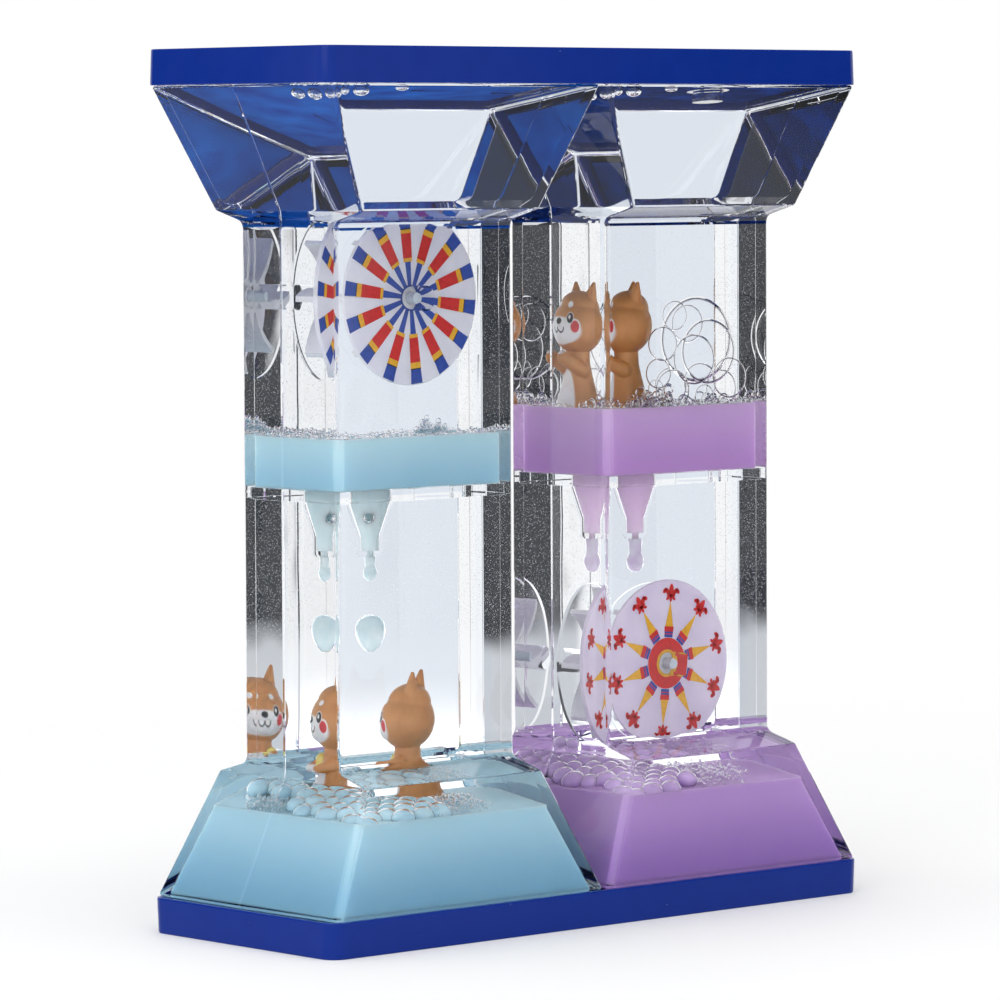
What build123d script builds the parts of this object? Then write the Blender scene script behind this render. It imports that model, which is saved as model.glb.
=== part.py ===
from build123d import *
import math
import os

# Liquid motion timer: two clear tanks, equal but turned end for end, stand between two tray caps.
# Millimetres. Z is up, X runs along the two tanks, the front is at -Y,
# and the origin is the middle of the base cap's underside.

# Overall
HEIGHT = 140.0

# Tray caps
CAP_HEIGHT = 5.7
CAP_FLOOR = 1.6
CAP_WALL = 1.2
CAP_DRAFT = 0.2            # how far the rim stands outside the closed face, on each side
CAP_CORNER = 2.8
CAP_EDGE = 0.6
CAP_END_ROOM = 0.9         # between a tank's neck and the cap's end wall
CAP_SIDE_ROOM = 0.1        # between a tank's neck and the cap's long wall
CAP_RIB_HEIGHT = 2.5       # locating rib between the two necks
CAP_RIB_FIT = 0.2

# Clear tanks
COLUMN_WIDTH = 36.6
COLUMN_DEPTH = 23.3
COLUMN_CORNER = 0.8
FOOT_FLARE_X = 9.3         # how far the foot spreads beyond its shoulder, each side
FOOT_FLARE_Y = 3.9
LEDGE_X = 0.2              # how far the shoulder stands out from the column
LEDGE_Y = 6.4
FOOT_RISE = 18.7
LEDGE_RISE = 1.8
LEDGE_EDGE = 1.4           # bevel of the shoulder's outer edge
FOOT_EDGE = 0.6
FOOT_CORNER = 1.6
CAVITY_CORNER = 0.8
WALL = 1.8
TANK_GAP = 1.5             # between the two feet
FLANGE_GAP = 1.0           # between a cap's rim and a foot
NECK_INSET = 0.9
SEAM_Y = 1.4

# Filler plug
PLUG_RADIUS = 3.0
PLUG_HEAD_RADIUS = 4.2
PLUG_HEAD_HEIGHT = 1.2
PLUG_FIT = 0.03
PLUG_INSET = 8.0           # from the cavity's front wall at the floor to the plug's middle

# Divider and its nozzles
DIVIDER_THICKNESS = 1.8
DIVIDER_GROOVE = 0.6
DIVIDER_FIT = 0.05
NOZZLE_OFFSET = 6.5
NOZZLE_Y = -0.9
NOZZLE_ROOT_RADIUS = 4.6
NOZZLE_SPOUT_RADIUS = 2.4
NOZZLE_CONE = 5.7
NOZZLE_SPOUT = 3.2
NOZZLE_WALL = 0.7
NOZZLE_TIP_WALL = 1.0
NOZZLE_TIP_EDGE = 0.4
ORIFICE_RADIUS = 0.7

# Wheel, its axle and bosses
WHEEL_OFFSET = 0.9         # from the tank's middle line
WHEEL_SIDE_ROOM = 1.8      # between the rim and the nearer side wall
WHEEL_TIP_ROOM = 7.1       # between the rim and the nozzle's tip
WHEEL_FRONT_Y = -3.6
DISC_THICKNESS = 1.0
VANE_WIDTH = 5.0
BACK_THICKNESS = 0.8
BACK_STEP = 0.6            # how much smaller the rear disc is
VANE_COUNT = 8
VANE_THICKNESS = 0.9
VANE_BEND = 13.0
VANE_TIP_STEP = 1.3        # from the rim to the vane's tip
HUB_RADIUS = 2.8
SPIGOT_RADIUS = 1.6
SPIGOT_FIT = 0.02
AXLE_RADIUS = 0.8
AXLE_RUN_FIT = 0.06
AXLE_SEAT = 2.6
AXLE_SEAT_FIT = 0.02
BOSS_RADIUS = 2.0
WHEEL_END_PLAY = 0.3

# Coloured liquids
LOWER_DEPTH = 12.0
LEFT_UPPER_DEPTH = 8.2
RIGHT_UPPER_DEPTH = 11.0
LIQUID_FILM = 0.1          # clear film between a liquid and the walls
LEFT_DROP_RADIUS = 1.4
LEFT_DROP_HANG = 3.9
RIGHT_DROP_RADIUS = 2.0
RIGHT_DROP_HANG = 5.6

# Floating puppies, each measured from its own underside
BODY_HEIGHT = 13.6
BODY_RADIUS = 5.2
BODY_WAIST_RADIUS = 4.5
NECK_RADIUS = 3.0
BASE_EDGE = 0.7
HEAD_RADIUS = 5.4
NECK_SINK = 0.9            # how far the head sinks over the neck
MUZZLE_RADIUS = 2.6
EAR_RADIUS = 1.7
EAR_TIP_RADIUS = 0.45
EAR_HEIGHT = 5.4
EAR_TILT = 10.0
EAR_SPREAD = 2.2
PAW_RADIUS = 1.7
PAW_SPREAD = 2.6
ARM_RADIUS = 1.25
ARM_LENGTH = 4.2
ARM_DROOP = 20.0
BALLAST_RADIUS = 3.2
BALLAST_HEIGHT = 2.4
BALLAST_FIT = 0.05
FLOAT_DRAUGHT_LEFT = 4.0
FLOAT_DRAUGHT_RIGHT = 5.4
FLOAT_TURN = -30.0         # degrees about Z, from facing -X towards the rear
FLOAT_ROOM = 0.5           # between a float and the liquid round it
LEFT_FLOAT_PATH_ROOM = 0.8 # between the left float and the path of the drops
LEFT_FLOAT_REAR_ROOM = 1.9 # between the left float's head and the column's rear wall
RIGHT_FLOAT_SIDE_ROOM = 4.6
RIGHT_FLOAT_REAR_ROOM = 1.0 # between the right float's well and the pool's rear face

# Chick held by the left puppy
CHICK_RADIUS = 1.9
CHICK_HEAD_RADIUS = 1.4
CHICK_NECK = 1.4           # from the middle of its body to the middle of its head
CHICK_RISE = 9.8           # middle of the chick's body above the puppy's underside
CHICK_RECESS = 0.9         # how deep it sits in the puppy's chest
CHICK_FIT = 0.1
BEAK_RADIUS = 0.55
BEAK_LENGTH = 1.0

# Worked out from the sizes above
MIDDLE_Z = HEIGHT / 2
FLANGE_Z = CAP_HEIGHT + FLANGE_GAP
SHOULDER_Z = FLANGE_Z + FOOT_RISE
COLUMN_Z = SHOULDER_Z + LEDGE_RISE
FLOOR_Z = FLANGE_Z + WALL / 2
COLUMN_X = COLUMN_WIDTH / 2
COLUMN_Y = COLUMN_DEPTH / 2
SHOULDER_X = COLUMN_X + LEDGE_X
SHOULDER_Y = COLUMN_Y + LEDGE_Y
FOOT_X = SHOULDER_X + FOOT_FLARE_X
FOOT_Y = SHOULDER_Y + FOOT_FLARE_Y
NECK_X = FOOT_X - NECK_INSET
NECK_Y = FOOT_Y - NECK_INSET
TANK_PITCH = 2 * FOOT_X + TANK_GAP
CAP_X = TANK_PITCH / 2 + NECK_X + CAP_END_ROOM + CAP_WALL
CAP_Y = NECK_Y + CAP_SIDE_ROOM + CAP_WALL
CAVITY_X = COLUMN_X - WALL
CAVITY_Y = COLUMN_Y - WALL
NOZZLE_LENGTH = NOZZLE_CONE + NOZZLE_SPOUT
WHEEL_RADIUS = CAVITY_X - WHEEL_OFFSET - WHEEL_SIDE_ROOM
WHEEL_Z = MIDDLE_Z + DIVIDER_THICKNESS / 2 + NOZZLE_LENGTH + WHEEL_TIP_ROOM + WHEEL_RADIUS
VANE_FRONT_Y = WHEEL_FRONT_Y + DISC_THICKNESS
BACK_FRONT_Y = VANE_FRONT_Y + VANE_WIDTH
WHEEL_BACK_Y = BACK_FRONT_Y + BACK_THICKNESS
HEAD_Z = BODY_HEIGHT - NECK_SINK + HEAD_RADIUS
DIVIDER_TOP_Z = MIDDLE_Z + DIVIDER_THICKNESS / 2
LOWER_LEVEL_Z = FLOOR_Z + LOWER_DEPTH
FLOAT_REACH = BODY_RADIUS + MUZZLE_RADIUS / 2
PAW_REACH = math.hypot(BODY_RADIUS - PAW_RADIUS, PAW_SPREAD) + PAW_RADIUS
ARM_SPREAD = NECK_RADIUS - ARM_RADIUS / 2
ARM_REACH = math.hypot(ARM_LENGTH, ARM_SPREAD) + ARM_RADIUS
CHICK_X = -BODY_WAIST_RADIUS - CHICK_RADIUS + CHICK_RECESS
FLOAT_WELL_RADIUS = max(PAW_REACH, ARM_REACH) + FLOAT_ROOM
LEFT_FLOAT_X = -NOZZLE_OFFSET + RIGHT_DROP_RADIUS + LEFT_FLOAT_PATH_ROOM + FLOAT_REACH
LEFT_FLOAT_Y = CAVITY_Y - LEFT_FLOAT_REAR_ROOM - HEAD_RADIUS
RIGHT_FLOAT_X = -(CAVITY_X - BODY_RADIUS - RIGHT_FLOAT_SIDE_ROOM)
RIGHT_FLOAT_Y = CAVITY_Y - LIQUID_FILM - RIGHT_FLOAT_REAR_ROOM - FLOAT_WELL_RADIUS

os.makedirs("parts", exist_ok=True)


def rounded(half_x, half_y, corner, z):
    """A level rounded rectangle about the Z axis."""
    return Pos(0, 0, z) * RectangleRounded(2 * half_x, 2 * half_y, corner)


def along_y(radius, start, end):
    """A round bar along Y, from one Y to another, about the line through the origin."""
    return Pos(0, (start + end) / 2, 0) * Rot(90, 0, 0) * Cylinder(radius, end - start)


def between(half_x, half_y, low, high):
    """A block about the Z axis, from one height to another."""
    return Pos(0, 0, (low + high) / 2) * Box(2 * half_x, 2 * half_y, high - low)


def turned_over(shape):
    """The same tank piece in the other tank, which stands the other way up."""
    return Pos(0, 0, HEIGHT) * Rot(0, 180, 0) * shape


def mirrored_up(shape):
    return mirror(shape, about=Plane.XY.offset(MIDDLE_Z))


def foot_x(z):
    return FOOT_X - FOOT_FLARE_X * (z - FLANGE_Z) / FOOT_RISE


def foot_y(z):
    return FOOT_Y - FOOT_FLARE_Y * (z - FLANGE_Z) / FOOT_RISE


# Caps

def cap():
    """Tray with drafted sides, a rounded closed face and a rib that sits between the two necks."""
    closed = rounded(CAP_X, CAP_Y, CAP_CORNER, 0)
    rim = rounded(CAP_X + CAP_DRAFT, CAP_Y + CAP_DRAFT, CAP_CORNER + CAP_DRAFT, CAP_HEIGHT)
    tray = loft([closed, rim], ruled=True)
    tray = fillet(tray.edges().group_by(Axis.Z)[0], CAP_EDGE)
    inner_corner = CAP_CORNER - CAP_WALL
    inner_floor = rounded(CAP_X - CAP_WALL, CAP_Y - CAP_WALL, inner_corner, CAP_FLOOR)
    inner_rim = rounded(CAP_X - CAP_WALL + CAP_DRAFT, CAP_Y - CAP_WALL + CAP_DRAFT, inner_corner, CAP_HEIGHT)
    tray -= loft([inner_floor, inner_rim], ruled=True)
    rib_half = TANK_PITCH / 2 - NECK_X - CAP_RIB_FIT
    return tray + between(rib_half, NECK_Y, CAP_FLOOR, CAP_FLOOR + CAP_RIB_HEIGHT)


# Tanks

def foot_block():
    """Outside of a tank's lower end: neck, flared foot, bevelled shoulder."""
    low = FLANGE_Z + FOOT_EDGE
    high = SHOULDER_Z - LEDGE_EDGE / 2
    ledge_share = LEDGE_EDGE / LEDGE_Y
    ledge_z = SHOULDER_Z + LEDGE_RISE * ledge_share
    sections = [
        rounded(FOOT_X - FOOT_EDGE, FOOT_Y - FOOT_EDGE, FOOT_CORNER, FLANGE_Z),
        rounded(foot_x(low), foot_y(low), FOOT_CORNER, low),
        rounded(foot_x(high), foot_y(high), FOOT_CORNER, high),
        rounded(SHOULDER_X - LEDGE_X * ledge_share, SHOULDER_Y - LEDGE_EDGE, FOOT_CORNER, ledge_z),
        rounded(COLUMN_X, COLUMN_Y, COLUMN_CORNER, COLUMN_Z),
    ]
    neck = extrude(rounded(NECK_X, NECK_Y, FOOT_CORNER, CAP_FLOOR), FLANGE_Z + FOOT_EDGE - CAP_FLOOR)
    return loft(sections, ruled=True) + neck


def cavity(inset):
    """Inside of a tank, its walls a given distance in from the outside."""
    roof = SHOULDER_Z - inset
    floor = FLOOR_Z + inset - WALL
    corner = CAVITY_CORNER
    foot = loft([
        rounded(foot_x(floor) - inset, foot_y(floor) - inset, corner, floor),
        rounded(foot_x(roof) - inset, foot_y(roof) - inset, corner, roof),
        rounded(COLUMN_X - inset, COLUMN_Y - inset, corner, COLUMN_Z - inset),
    ], ruled=True)
    column_base = COLUMN_Z - inset
    column_outline = rounded(COLUMN_X - inset, COLUMN_Y - inset, corner, column_base)
    column = extrude(column_outline, HEIGHT - 2 * column_base)
    return foot + column + mirrored_up(foot)


def at_wheel(shape):
    return Pos(WHEEL_OFFSET, 0, WHEEL_Z) * shape


def at_plug(shape):
    return Pos(0, PLUG_INSET - foot_y(FLOOR_Z) + WALL, 0) * shape


def tank_shells():
    """The two half shells of the tank that has its wheel in the upper chamber."""
    foot = foot_block()
    column = extrude(rounded(COLUMN_X, COLUMN_Y, COLUMN_CORNER, COLUMN_Z), HEIGHT - 2 * COLUMN_Z)
    tank = foot + column + mirrored_up(foot) - cavity(WALL)

    recess = between(NECK_X - WALL, NECK_Y - WALL, CAP_FLOOR, FLOOR_Z - WALL)
    tank -= recess + mirrored_up(recess)

    groove_half = DIVIDER_THICKNESS / 2 + DIVIDER_FIT
    tank -= between(CAVITY_X + DIVIDER_GROOVE, CAVITY_Y + DIVIDER_GROOVE,
                    MIDDLE_Z - groove_half, MIDDLE_Z + groove_half)

    hole = Pos(0, 0, FLOOR_Z - WALL / 2) * Cylinder(PLUG_RADIUS + PLUG_FIT, 2 * WALL)
    tank -= at_plug(hole)

    front_end = WHEEL_FRONT_Y - WHEEL_END_PLAY
    rear_end = WHEEL_BACK_Y + WHEEL_END_PLAY
    bosses = along_y(BOSS_RADIUS, -COLUMN_Y + WALL / 2, front_end)
    bosses += along_y(BOSS_RADIUS, rear_end, COLUMN_Y - WALL / 2)
    seat = along_y(AXLE_RADIUS + AXLE_SEAT_FIT, front_end - AXLE_SEAT, rear_end + AXLE_SEAT)
    tank = tank + at_wheel(bosses) - at_wheel(seat)

    seam = Plane.XZ.offset(-SEAM_Y)
    front = split(tank, bisect_by=seam, keep=Keep.TOP)
    rear = split(tank, bisect_by=seam, keep=Keep.BOTTOM)
    return front, rear


def filler_plug():
    """Stepped plug pushed into the floor from below, flush with the floor inside."""
    shank_base = FLOOR_Z - WALL
    shank = extrude(Pos(0, 0, shank_base) * Circle(PLUG_RADIUS), WALL)
    head = extrude(Pos(0, 0, shank_base - PLUG_HEAD_HEIGHT) * Circle(PLUG_HEAD_RADIUS), PLUG_HEAD_HEIGHT)
    return at_plug(shank + head)


# Divider

def nozzle_outline(inset):
    """Half outline of a nozzle that points down from height 0, its wall a given distance in."""
    shoulder = -NOZZLE_CONE
    tip = -NOZZLE_LENGTH + inset / NOZZLE_WALL * NOZZLE_TIP_WALL
    root = NOZZLE_ROOT_RADIUS - inset
    spout = NOZZLE_SPOUT_RADIUS - inset
    top = DIVIDER_THICKNESS
    return Polyline((0, top), (root, top), (root, 0), (spout, shoulder), (spout, tip), (0, tip), close=True)


def revolved(outline):
    return revolve(Plane.XZ * make_face(outline), axis=Axis.Z)


def at_down_nozzle(shape):
    return Pos(-NOZZLE_OFFSET, NOZZLE_Y, MIDDLE_Z - DIVIDER_THICKNESS / 2) * shape


def divider():
    """Plate held in the shells' groove, with a nozzle on each face so that the timer works both ways up."""
    edge = DIVIDER_GROOVE - DIVIDER_FIT
    plate = between(CAVITY_X + edge, CAVITY_Y + edge,
                    MIDDLE_Z - DIVIDER_THICKNESS / 2, MIDDLE_Z + DIVIDER_THICKNESS / 2)
    cone = revolved(nozzle_outline(0))
    cone = chamfer(cone.edges().group_by(Axis.Z)[0], NOZZLE_TIP_EDGE)
    bore = revolved(nozzle_outline(NOZZLE_WALL))
    bore += Pos(0, 0, -NOZZLE_LENGTH) * Cylinder(ORIFICE_RADIUS, 3 * NOZZLE_TIP_WALL)
    down = at_down_nozzle(cone)
    down_bore = at_down_nozzle(bore)
    return plate + down + turned_over(down) - down_bore - turned_over(down_bore)


# Wheel

def wheel_disc():
    disc = along_y(WHEEL_RADIUS, WHEEL_FRONT_Y, VANE_FRONT_Y)
    return at_wheel(disc - along_y(SPIGOT_RADIUS + SPIGOT_FIT, WHEEL_FRONT_Y, VANE_FRONT_Y))


def wheel_back():
    disc = along_y(WHEEL_RADIUS - BACK_STEP, BACK_FRONT_Y, WHEEL_BACK_Y)
    return at_wheel(disc - along_y(SPIGOT_RADIUS + SPIGOT_FIT, BACK_FRONT_Y, WHEEL_BACK_Y))


def vane():
    """One curved vane, standing on the hub along +Z, its thickness turned about one centre."""
    reach = WHEEL_RADIUS - VANE_TIP_STEP
    root = HUB_RADIUS / 2
    sag = VANE_BEND - math.sqrt(VANE_BEND**2 - (reach - root)**2 / 4)
    half = VANE_THICKNESS / 2
    middle = (root + reach) / 2
    near = ThreePointArc((-half, root), (sag - half, middle), (-half, reach))
    far = ThreePointArc((half, reach), (sag + half, middle), (half, root))
    outline = make_face([near, Line(near @ 1, far @ 0), far, Line(far @ 1, near @ 0)])
    blade = extrude(Plane.XZ * outline, -VANE_WIDTH)
    return Pos(0, VANE_FRONT_Y, 0) * blade


def wheel_paddle():
    """Hub with curved vanes, and a spigot at each end that carries a disc."""
    paddle = along_y(SPIGOT_RADIUS, WHEEL_FRONT_Y, WHEEL_BACK_Y)
    paddle += along_y(HUB_RADIUS, VANE_FRONT_Y, BACK_FRONT_Y)
    for index in range(VANE_COUNT):
        paddle += Rot(0, 360 * index / VANE_COUNT, 0) * vane()
    return at_wheel(paddle - along_y(AXLE_RADIUS + AXLE_RUN_FIT, WHEEL_FRONT_Y, WHEEL_BACK_Y))


def wheel_axle():
    reach = WHEEL_END_PLAY + AXLE_SEAT
    return at_wheel(along_y(AXLE_RADIUS, WHEEL_FRONT_Y - reach, WHEEL_BACK_Y + reach))


# Coloured liquids

def pool(low, high):
    """Liquid that fills a tank from one height to another."""
    slab = between(FOOT_X, FOOT_Y, low, high)
    return cavity(WALL + LIQUID_FILM) & slab


def float_well(low, high):
    """The room in a pool through which a puppy rises and sinks."""
    return extrude(Pos(0, 0, low) * Circle(FLOAT_WELL_RADIUS), high - low)


def chick_well(low, high):
    radius = CHICK_RADIUS + BEAK_LENGTH + FLOAT_ROOM
    return extrude(Pos(CHICK_X, 0, low) * Circle(radius), high - low)


def upper_pool(depth):
    up_nozzle = turned_over(at_down_nozzle(revolved(nozzle_outline(-LIQUID_FILM))))
    return pool(DIVIDER_TOP_Z + LIQUID_FILM, DIVIDER_TOP_Z + depth) - up_nozzle


def nozzle_drop(radius, hang):
    """Liquid in the down nozzle's bore, with the drop that hangs from its orifice."""
    fill = revolved(nozzle_outline(NOZZLE_WALL + LIQUID_FILM))
    tip = -NOZZLE_LENGTH
    thread_base = Pos(0, 0, tip - hang / 2) * Circle(ORIFICE_RADIUS - LIQUID_FILM)
    thread = extrude(thread_base, hang / 2 + 2 * NOZZLE_TIP_WALL)
    drop = Pos(0, 0, tip - hang + radius) * Sphere(radius)
    return at_down_nozzle(fill + thread + drop)


# Floating figures

def puppy():
    """Sitting puppy that faces -X, standing on its own underside at height 0."""
    base = (BODY_RADIUS - BASE_EDGE, 0)
    belly = (BODY_RADIUS, BASE_EDGE)
    waist = (BODY_WAIST_RADIUS, BODY_HEIGHT / 2)
    neck = (NECK_RADIUS, BODY_HEIGHT)
    figure = revolved(Polyline((0, 0), base, belly, waist, neck, (0, BODY_HEIGHT), close=True))
    figure += Pos(0, 0, HEAD_Z) * Sphere(HEAD_RADIUS)
    figure += Pos(MUZZLE_RADIUS / 2 - HEAD_RADIUS, 0, HEAD_Z - HEAD_RADIUS / 3) * Sphere(MUZZLE_RADIUS)
    ear = Pos(0, 0, EAR_HEIGHT / 2) * Cone(EAR_RADIUS, EAR_TIP_RADIUS, EAR_HEIGHT)
    arm = Rot(0, -90, 0) * Pos(0, 0, ARM_LENGTH / 2) * Cylinder(ARM_RADIUS, ARM_LENGTH)
    arm += Pos(-ARM_LENGTH, 0, 0) * Sphere(ARM_RADIUS)
    ear_z = HEAD_Z + HEAD_RADIUS / 2
    arm_z = BODY_HEIGHT - NECK_SINK - 2 * ARM_RADIUS
    for side in (-1, 1):
        figure += Pos(0, side * EAR_SPREAD, ear_z) * Rot(-side * EAR_TILT, 0, 0) * ear
        figure += Pos(PAW_RADIUS - BODY_RADIUS, side * PAW_SPREAD, PAW_RADIUS) * Sphere(PAW_RADIUS)
        figure += Pos(0, side * ARM_SPREAD, arm_z) * Rot(0, -ARM_DROOP, 0) * arm
    return figure - ballast_pocket()


def ballast_pocket():
    return extrude(Circle(BALLAST_RADIUS + BALLAST_FIT), BALLAST_HEIGHT)


def ballast():
    return extrude(Circle(BALLAST_RADIUS), BALLAST_HEIGHT)


def chick(grown=0.0):
    """Chick with a round body and head, or the room that it needs when grown all round."""
    head = Sphere(CHICK_HEAD_RADIUS + grown)
    beak = Rot(0, -90, 0) * Pos(0, 0, BEAK_LENGTH / 2) * Cone(BEAK_RADIUS, BEAK_RADIUS / 4, BEAK_LENGTH)
    head += Pos(BEAK_LENGTH / 4 - CHICK_HEAD_RADIUS, 0, 0) * beak
    figure = Sphere(CHICK_RADIUS + grown) + Pos(0, 0, CHICK_NECK) * head
    return Pos(CHICK_X, 0, CHICK_RISE) * figure


# Assembly: every piece is made in a tank's own frame, then stands at that tank's place

LEFT = Pos(-TANK_PITCH / 2, 0, 0)
RIGHT = Pos(TANK_PITCH / 2, 0, 0)

front_shell, rear_shell = tank_shells()
tank_pieces = {
    "front_shell": front_shell,
    "rear_shell": rear_shell,
    "divider": divider(),
    "filler_plug": filler_plug(),
    "wheel_axle": wheel_axle(),
    "wheel_disc": wheel_disc(),
    "wheel_paddle": wheel_paddle(),
    "wheel_back": wheel_back(),
}

base_cap = cap()
nodes = {"base_cap": base_cap, "top_cap": mirrored_up(base_cap)}
for name, piece in tank_pieces.items():
    nodes["left_" + name] = LEFT * piece
    nodes["right_" + name] = RIGHT * turned_over(piece)

left_base = LOWER_LEVEL_Z - FLOAT_DRAUGHT_LEFT
right_base = DIVIDER_TOP_Z + RIGHT_UPPER_DEPTH - FLOAT_DRAUGHT_RIGHT
turn = Rot(0, 0, FLOAT_TURN)
left_place = LEFT * Pos(LEFT_FLOAT_X, LEFT_FLOAT_Y, left_base) * turn
right_place = RIGHT * Pos(RIGHT_FLOAT_X, RIGHT_FLOAT_Y, right_base) * turn
left_well = Pos(LEFT_FLOAT_X, LEFT_FLOAT_Y, 0) * turn * (float_well(0, MIDDLE_Z) + chick_well(0, MIDDLE_Z))
right_well = Pos(RIGHT_FLOAT_X, RIGHT_FLOAT_Y, 0) * float_well(MIDDLE_Z, HEIGHT)
lower_pool = pool(0, LOWER_LEVEL_Z)

nodes["left_upper_pool"] = LEFT * upper_pool(LEFT_UPPER_DEPTH)
nodes["left_lower_pool"] = LEFT * (lower_pool - left_well)
nodes["right_upper_pool"] = RIGHT * (upper_pool(RIGHT_UPPER_DEPTH) - right_well)
nodes["right_lower_pool"] = RIGHT * lower_pool
nodes["left_nozzle_drop"] = LEFT * nozzle_drop(LEFT_DROP_RADIUS, LEFT_DROP_HANG)
nodes["right_nozzle_drop"] = RIGHT * nozzle_drop(RIGHT_DROP_RADIUS, RIGHT_DROP_HANG)
nodes["left_puppy"] = left_place * (puppy() - chick(CHICK_FIT))
nodes["right_puppy"] = right_place * puppy()
nodes["left_ballast"] = left_place * ballast()
nodes["right_ballast"] = right_place * ballast()
nodes["left_chick"] = left_place * chick()

for name, shape in nodes.items():
    export_step(shape, f"parts/{name}.step")
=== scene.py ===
import math
import random

import bmesh
import bpy
from mathutils import Matrix, Vector


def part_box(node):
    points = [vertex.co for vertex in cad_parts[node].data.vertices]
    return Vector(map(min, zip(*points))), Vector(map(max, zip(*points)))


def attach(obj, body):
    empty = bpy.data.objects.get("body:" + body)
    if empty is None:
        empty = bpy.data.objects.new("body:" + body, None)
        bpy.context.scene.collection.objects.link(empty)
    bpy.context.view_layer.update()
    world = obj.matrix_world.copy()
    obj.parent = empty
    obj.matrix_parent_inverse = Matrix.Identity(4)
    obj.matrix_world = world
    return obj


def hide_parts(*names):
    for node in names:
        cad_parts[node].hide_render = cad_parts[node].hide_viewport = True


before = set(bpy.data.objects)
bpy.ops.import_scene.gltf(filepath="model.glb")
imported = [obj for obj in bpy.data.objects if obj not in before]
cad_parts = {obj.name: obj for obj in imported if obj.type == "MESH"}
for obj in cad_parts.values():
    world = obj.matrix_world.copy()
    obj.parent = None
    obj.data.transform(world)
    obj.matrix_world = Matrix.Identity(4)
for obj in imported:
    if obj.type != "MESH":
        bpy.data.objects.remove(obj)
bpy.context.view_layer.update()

# Looks of a liquid motion timer. Sizes are in millimetres unless a name says otherwise,
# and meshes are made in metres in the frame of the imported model: Z up, front at -Y.
MM = 0.001
SIDES = ("left", "right")


def box_mm(node):
    """Lowest and highest corner of a CAD node."""
    low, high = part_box(node)
    return low / MM, high / MM


def middle(node):
    low, high = box_mm(node)
    return (low + high) / 2


# How much further than the solids the tanks' feet reach, to rest on the cap's rim
FOOT_WIDER = 0.3
FOOT_DEEPER = 0.35

# Sizes read from the frame
CAP_HIGH = box_mm("base_cap")[1]
HEIGHT = box_mm("top_cap")[1].z
SHELL_LOW, SHELL_HIGH = box_mm("left_front_shell")
MIDDLE_Z = HEIGHT / 2
TANK_X = {side: middle(side + "_divider").x for side in SIDES}
SEAM_Y = SHELL_HIGH.y
FOOT_X = (SHELL_HIGH.x - SHELL_LOW.x) / 2 + FOOT_WIDER
FOOT_Y = FOOT_DEEPER - SHELL_LOW.y
NECK_Z = SHELL_LOW.z

# Tank walls
WALL = 1.8
COLUMN_X = 18.3
COLUMN_Y = 11.65
COLUMN_CORNER = 0.8
SHOULDER_X = 18.5
SHOULDER_Y = 18.05
FOOT_CORNER = 0.7
FLANGE_Z = 5.75
FOOT_EDGE = 0.35
SHOULDER_Z = 25.4
COLUMN_Z = 27.2
NECK_INSET = 0.6
CAVITY_CORNER = 0.5
CAVITY_BEND = 0.8
CAVITY_INSET = 1.5
FLOOR_Z = 5.5
END_WALL = 1.0
GROOVE_HALF = 0.95
GROOVE_DEPTH = 0.6
SEAM_SWELL = 0.3           # each moulded half widens towards the seam
SEAM_LIP = 0.3
SEAM_NICK = 0.1
PAD_PLAY = 0.05            # between a cap's pad and the end wall of a tank
BOSS_RADIUS = 2.0
BOSS_EDGE = 0.3
BOSS_PLAY = 0.3            # between a boss and the wheel
BOSS_SEAT = 0.02

# Caps
CAP_FLOOR = 1.6
CAP_WALL = 1.2
CAP_DRAFT = 0.2
CAP_CORNER = 2.8
CAP_RIB = 4.4
CAP_RIB_HEIGHT = 2.5
CAP_EDGE = 0.35
RIB_EDGE = 0.3

# Liquids
FILM = 0.1

CORNER_STEPS = 8
BEND_STEPS = 5
TURN_STEPS = 48


# Mesh helpers

def station(half_x, half_y, corner, z):
    return Vector((half_x, half_y, corner, z))


def flipped(stations):
    """The same profile at the other end of the tank, from the middle upwards."""
    return [station(s[0], s[1], s[2], HEIGHT - s[3]) for s in reversed(stations)]


def softened(stations, *roundings):
    """A profile with each inner bend rounded; the last of the roundings serves the rest."""
    soft = [stations[0]]
    for bend, (before, here, after) in enumerate(zip(stations, stations[1:], stations[2:])):
        rounding = roundings[min(bend, len(roundings) - 1)]
        start = here.lerp(before, min(0.45, rounding / (before - here).length))
        end = here.lerp(after, min(0.45, rounding / (after - here).length))
        for step in range(BEND_STEPS + 1):
            share = step / BEND_STEPS
            soft.append(start.lerp(here, share).lerp(here.lerp(end, share), share))
    return soft + [stations[-1]]


def ring(at, centre_x=0.0):
    """Points of a level rounded rectangle, anticlockwise seen from above."""
    half_x, half_y, corner, z = at
    points = []
    for quarter, (side_x, side_y) in enumerate(((1, 1), (-1, 1), (-1, -1), (1, -1))):
        for step in range(CORNER_STEPS + 1):
            angle = math.radians(90 * (quarter + step / CORNER_STEPS))
            x = centre_x + side_x * (half_x - corner) + corner * math.cos(angle)
            y = side_y * (half_y - corner) + corner * math.sin(angle)
            points.append(Vector((x, y, z)))
    return points


def loft(bm, rings, look=0, end_look=None, inside_out=False):
    """Closed skin through rings of points, with a flat face at each end."""
    rows = [[bm.verts.new(point * MM) for point in points] for points in rings]
    ends = [tuple(reversed(rows[0])), tuple(rows[-1])]
    sides = []
    for low, high in zip(rows, rows[1:]):
        for i in range(len(low)):
            j = (i + 1) % len(low)
            sides.append((low[i], low[j], high[j], high[i]))
    for corners in ends + sides:
        face = bm.faces.new(tuple(reversed(corners)) if inside_out else corners)
        face.material_index = look
    if end_look is not None:
        for corners in ends:
            bm.faces.get(corners).material_index = end_look


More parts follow.
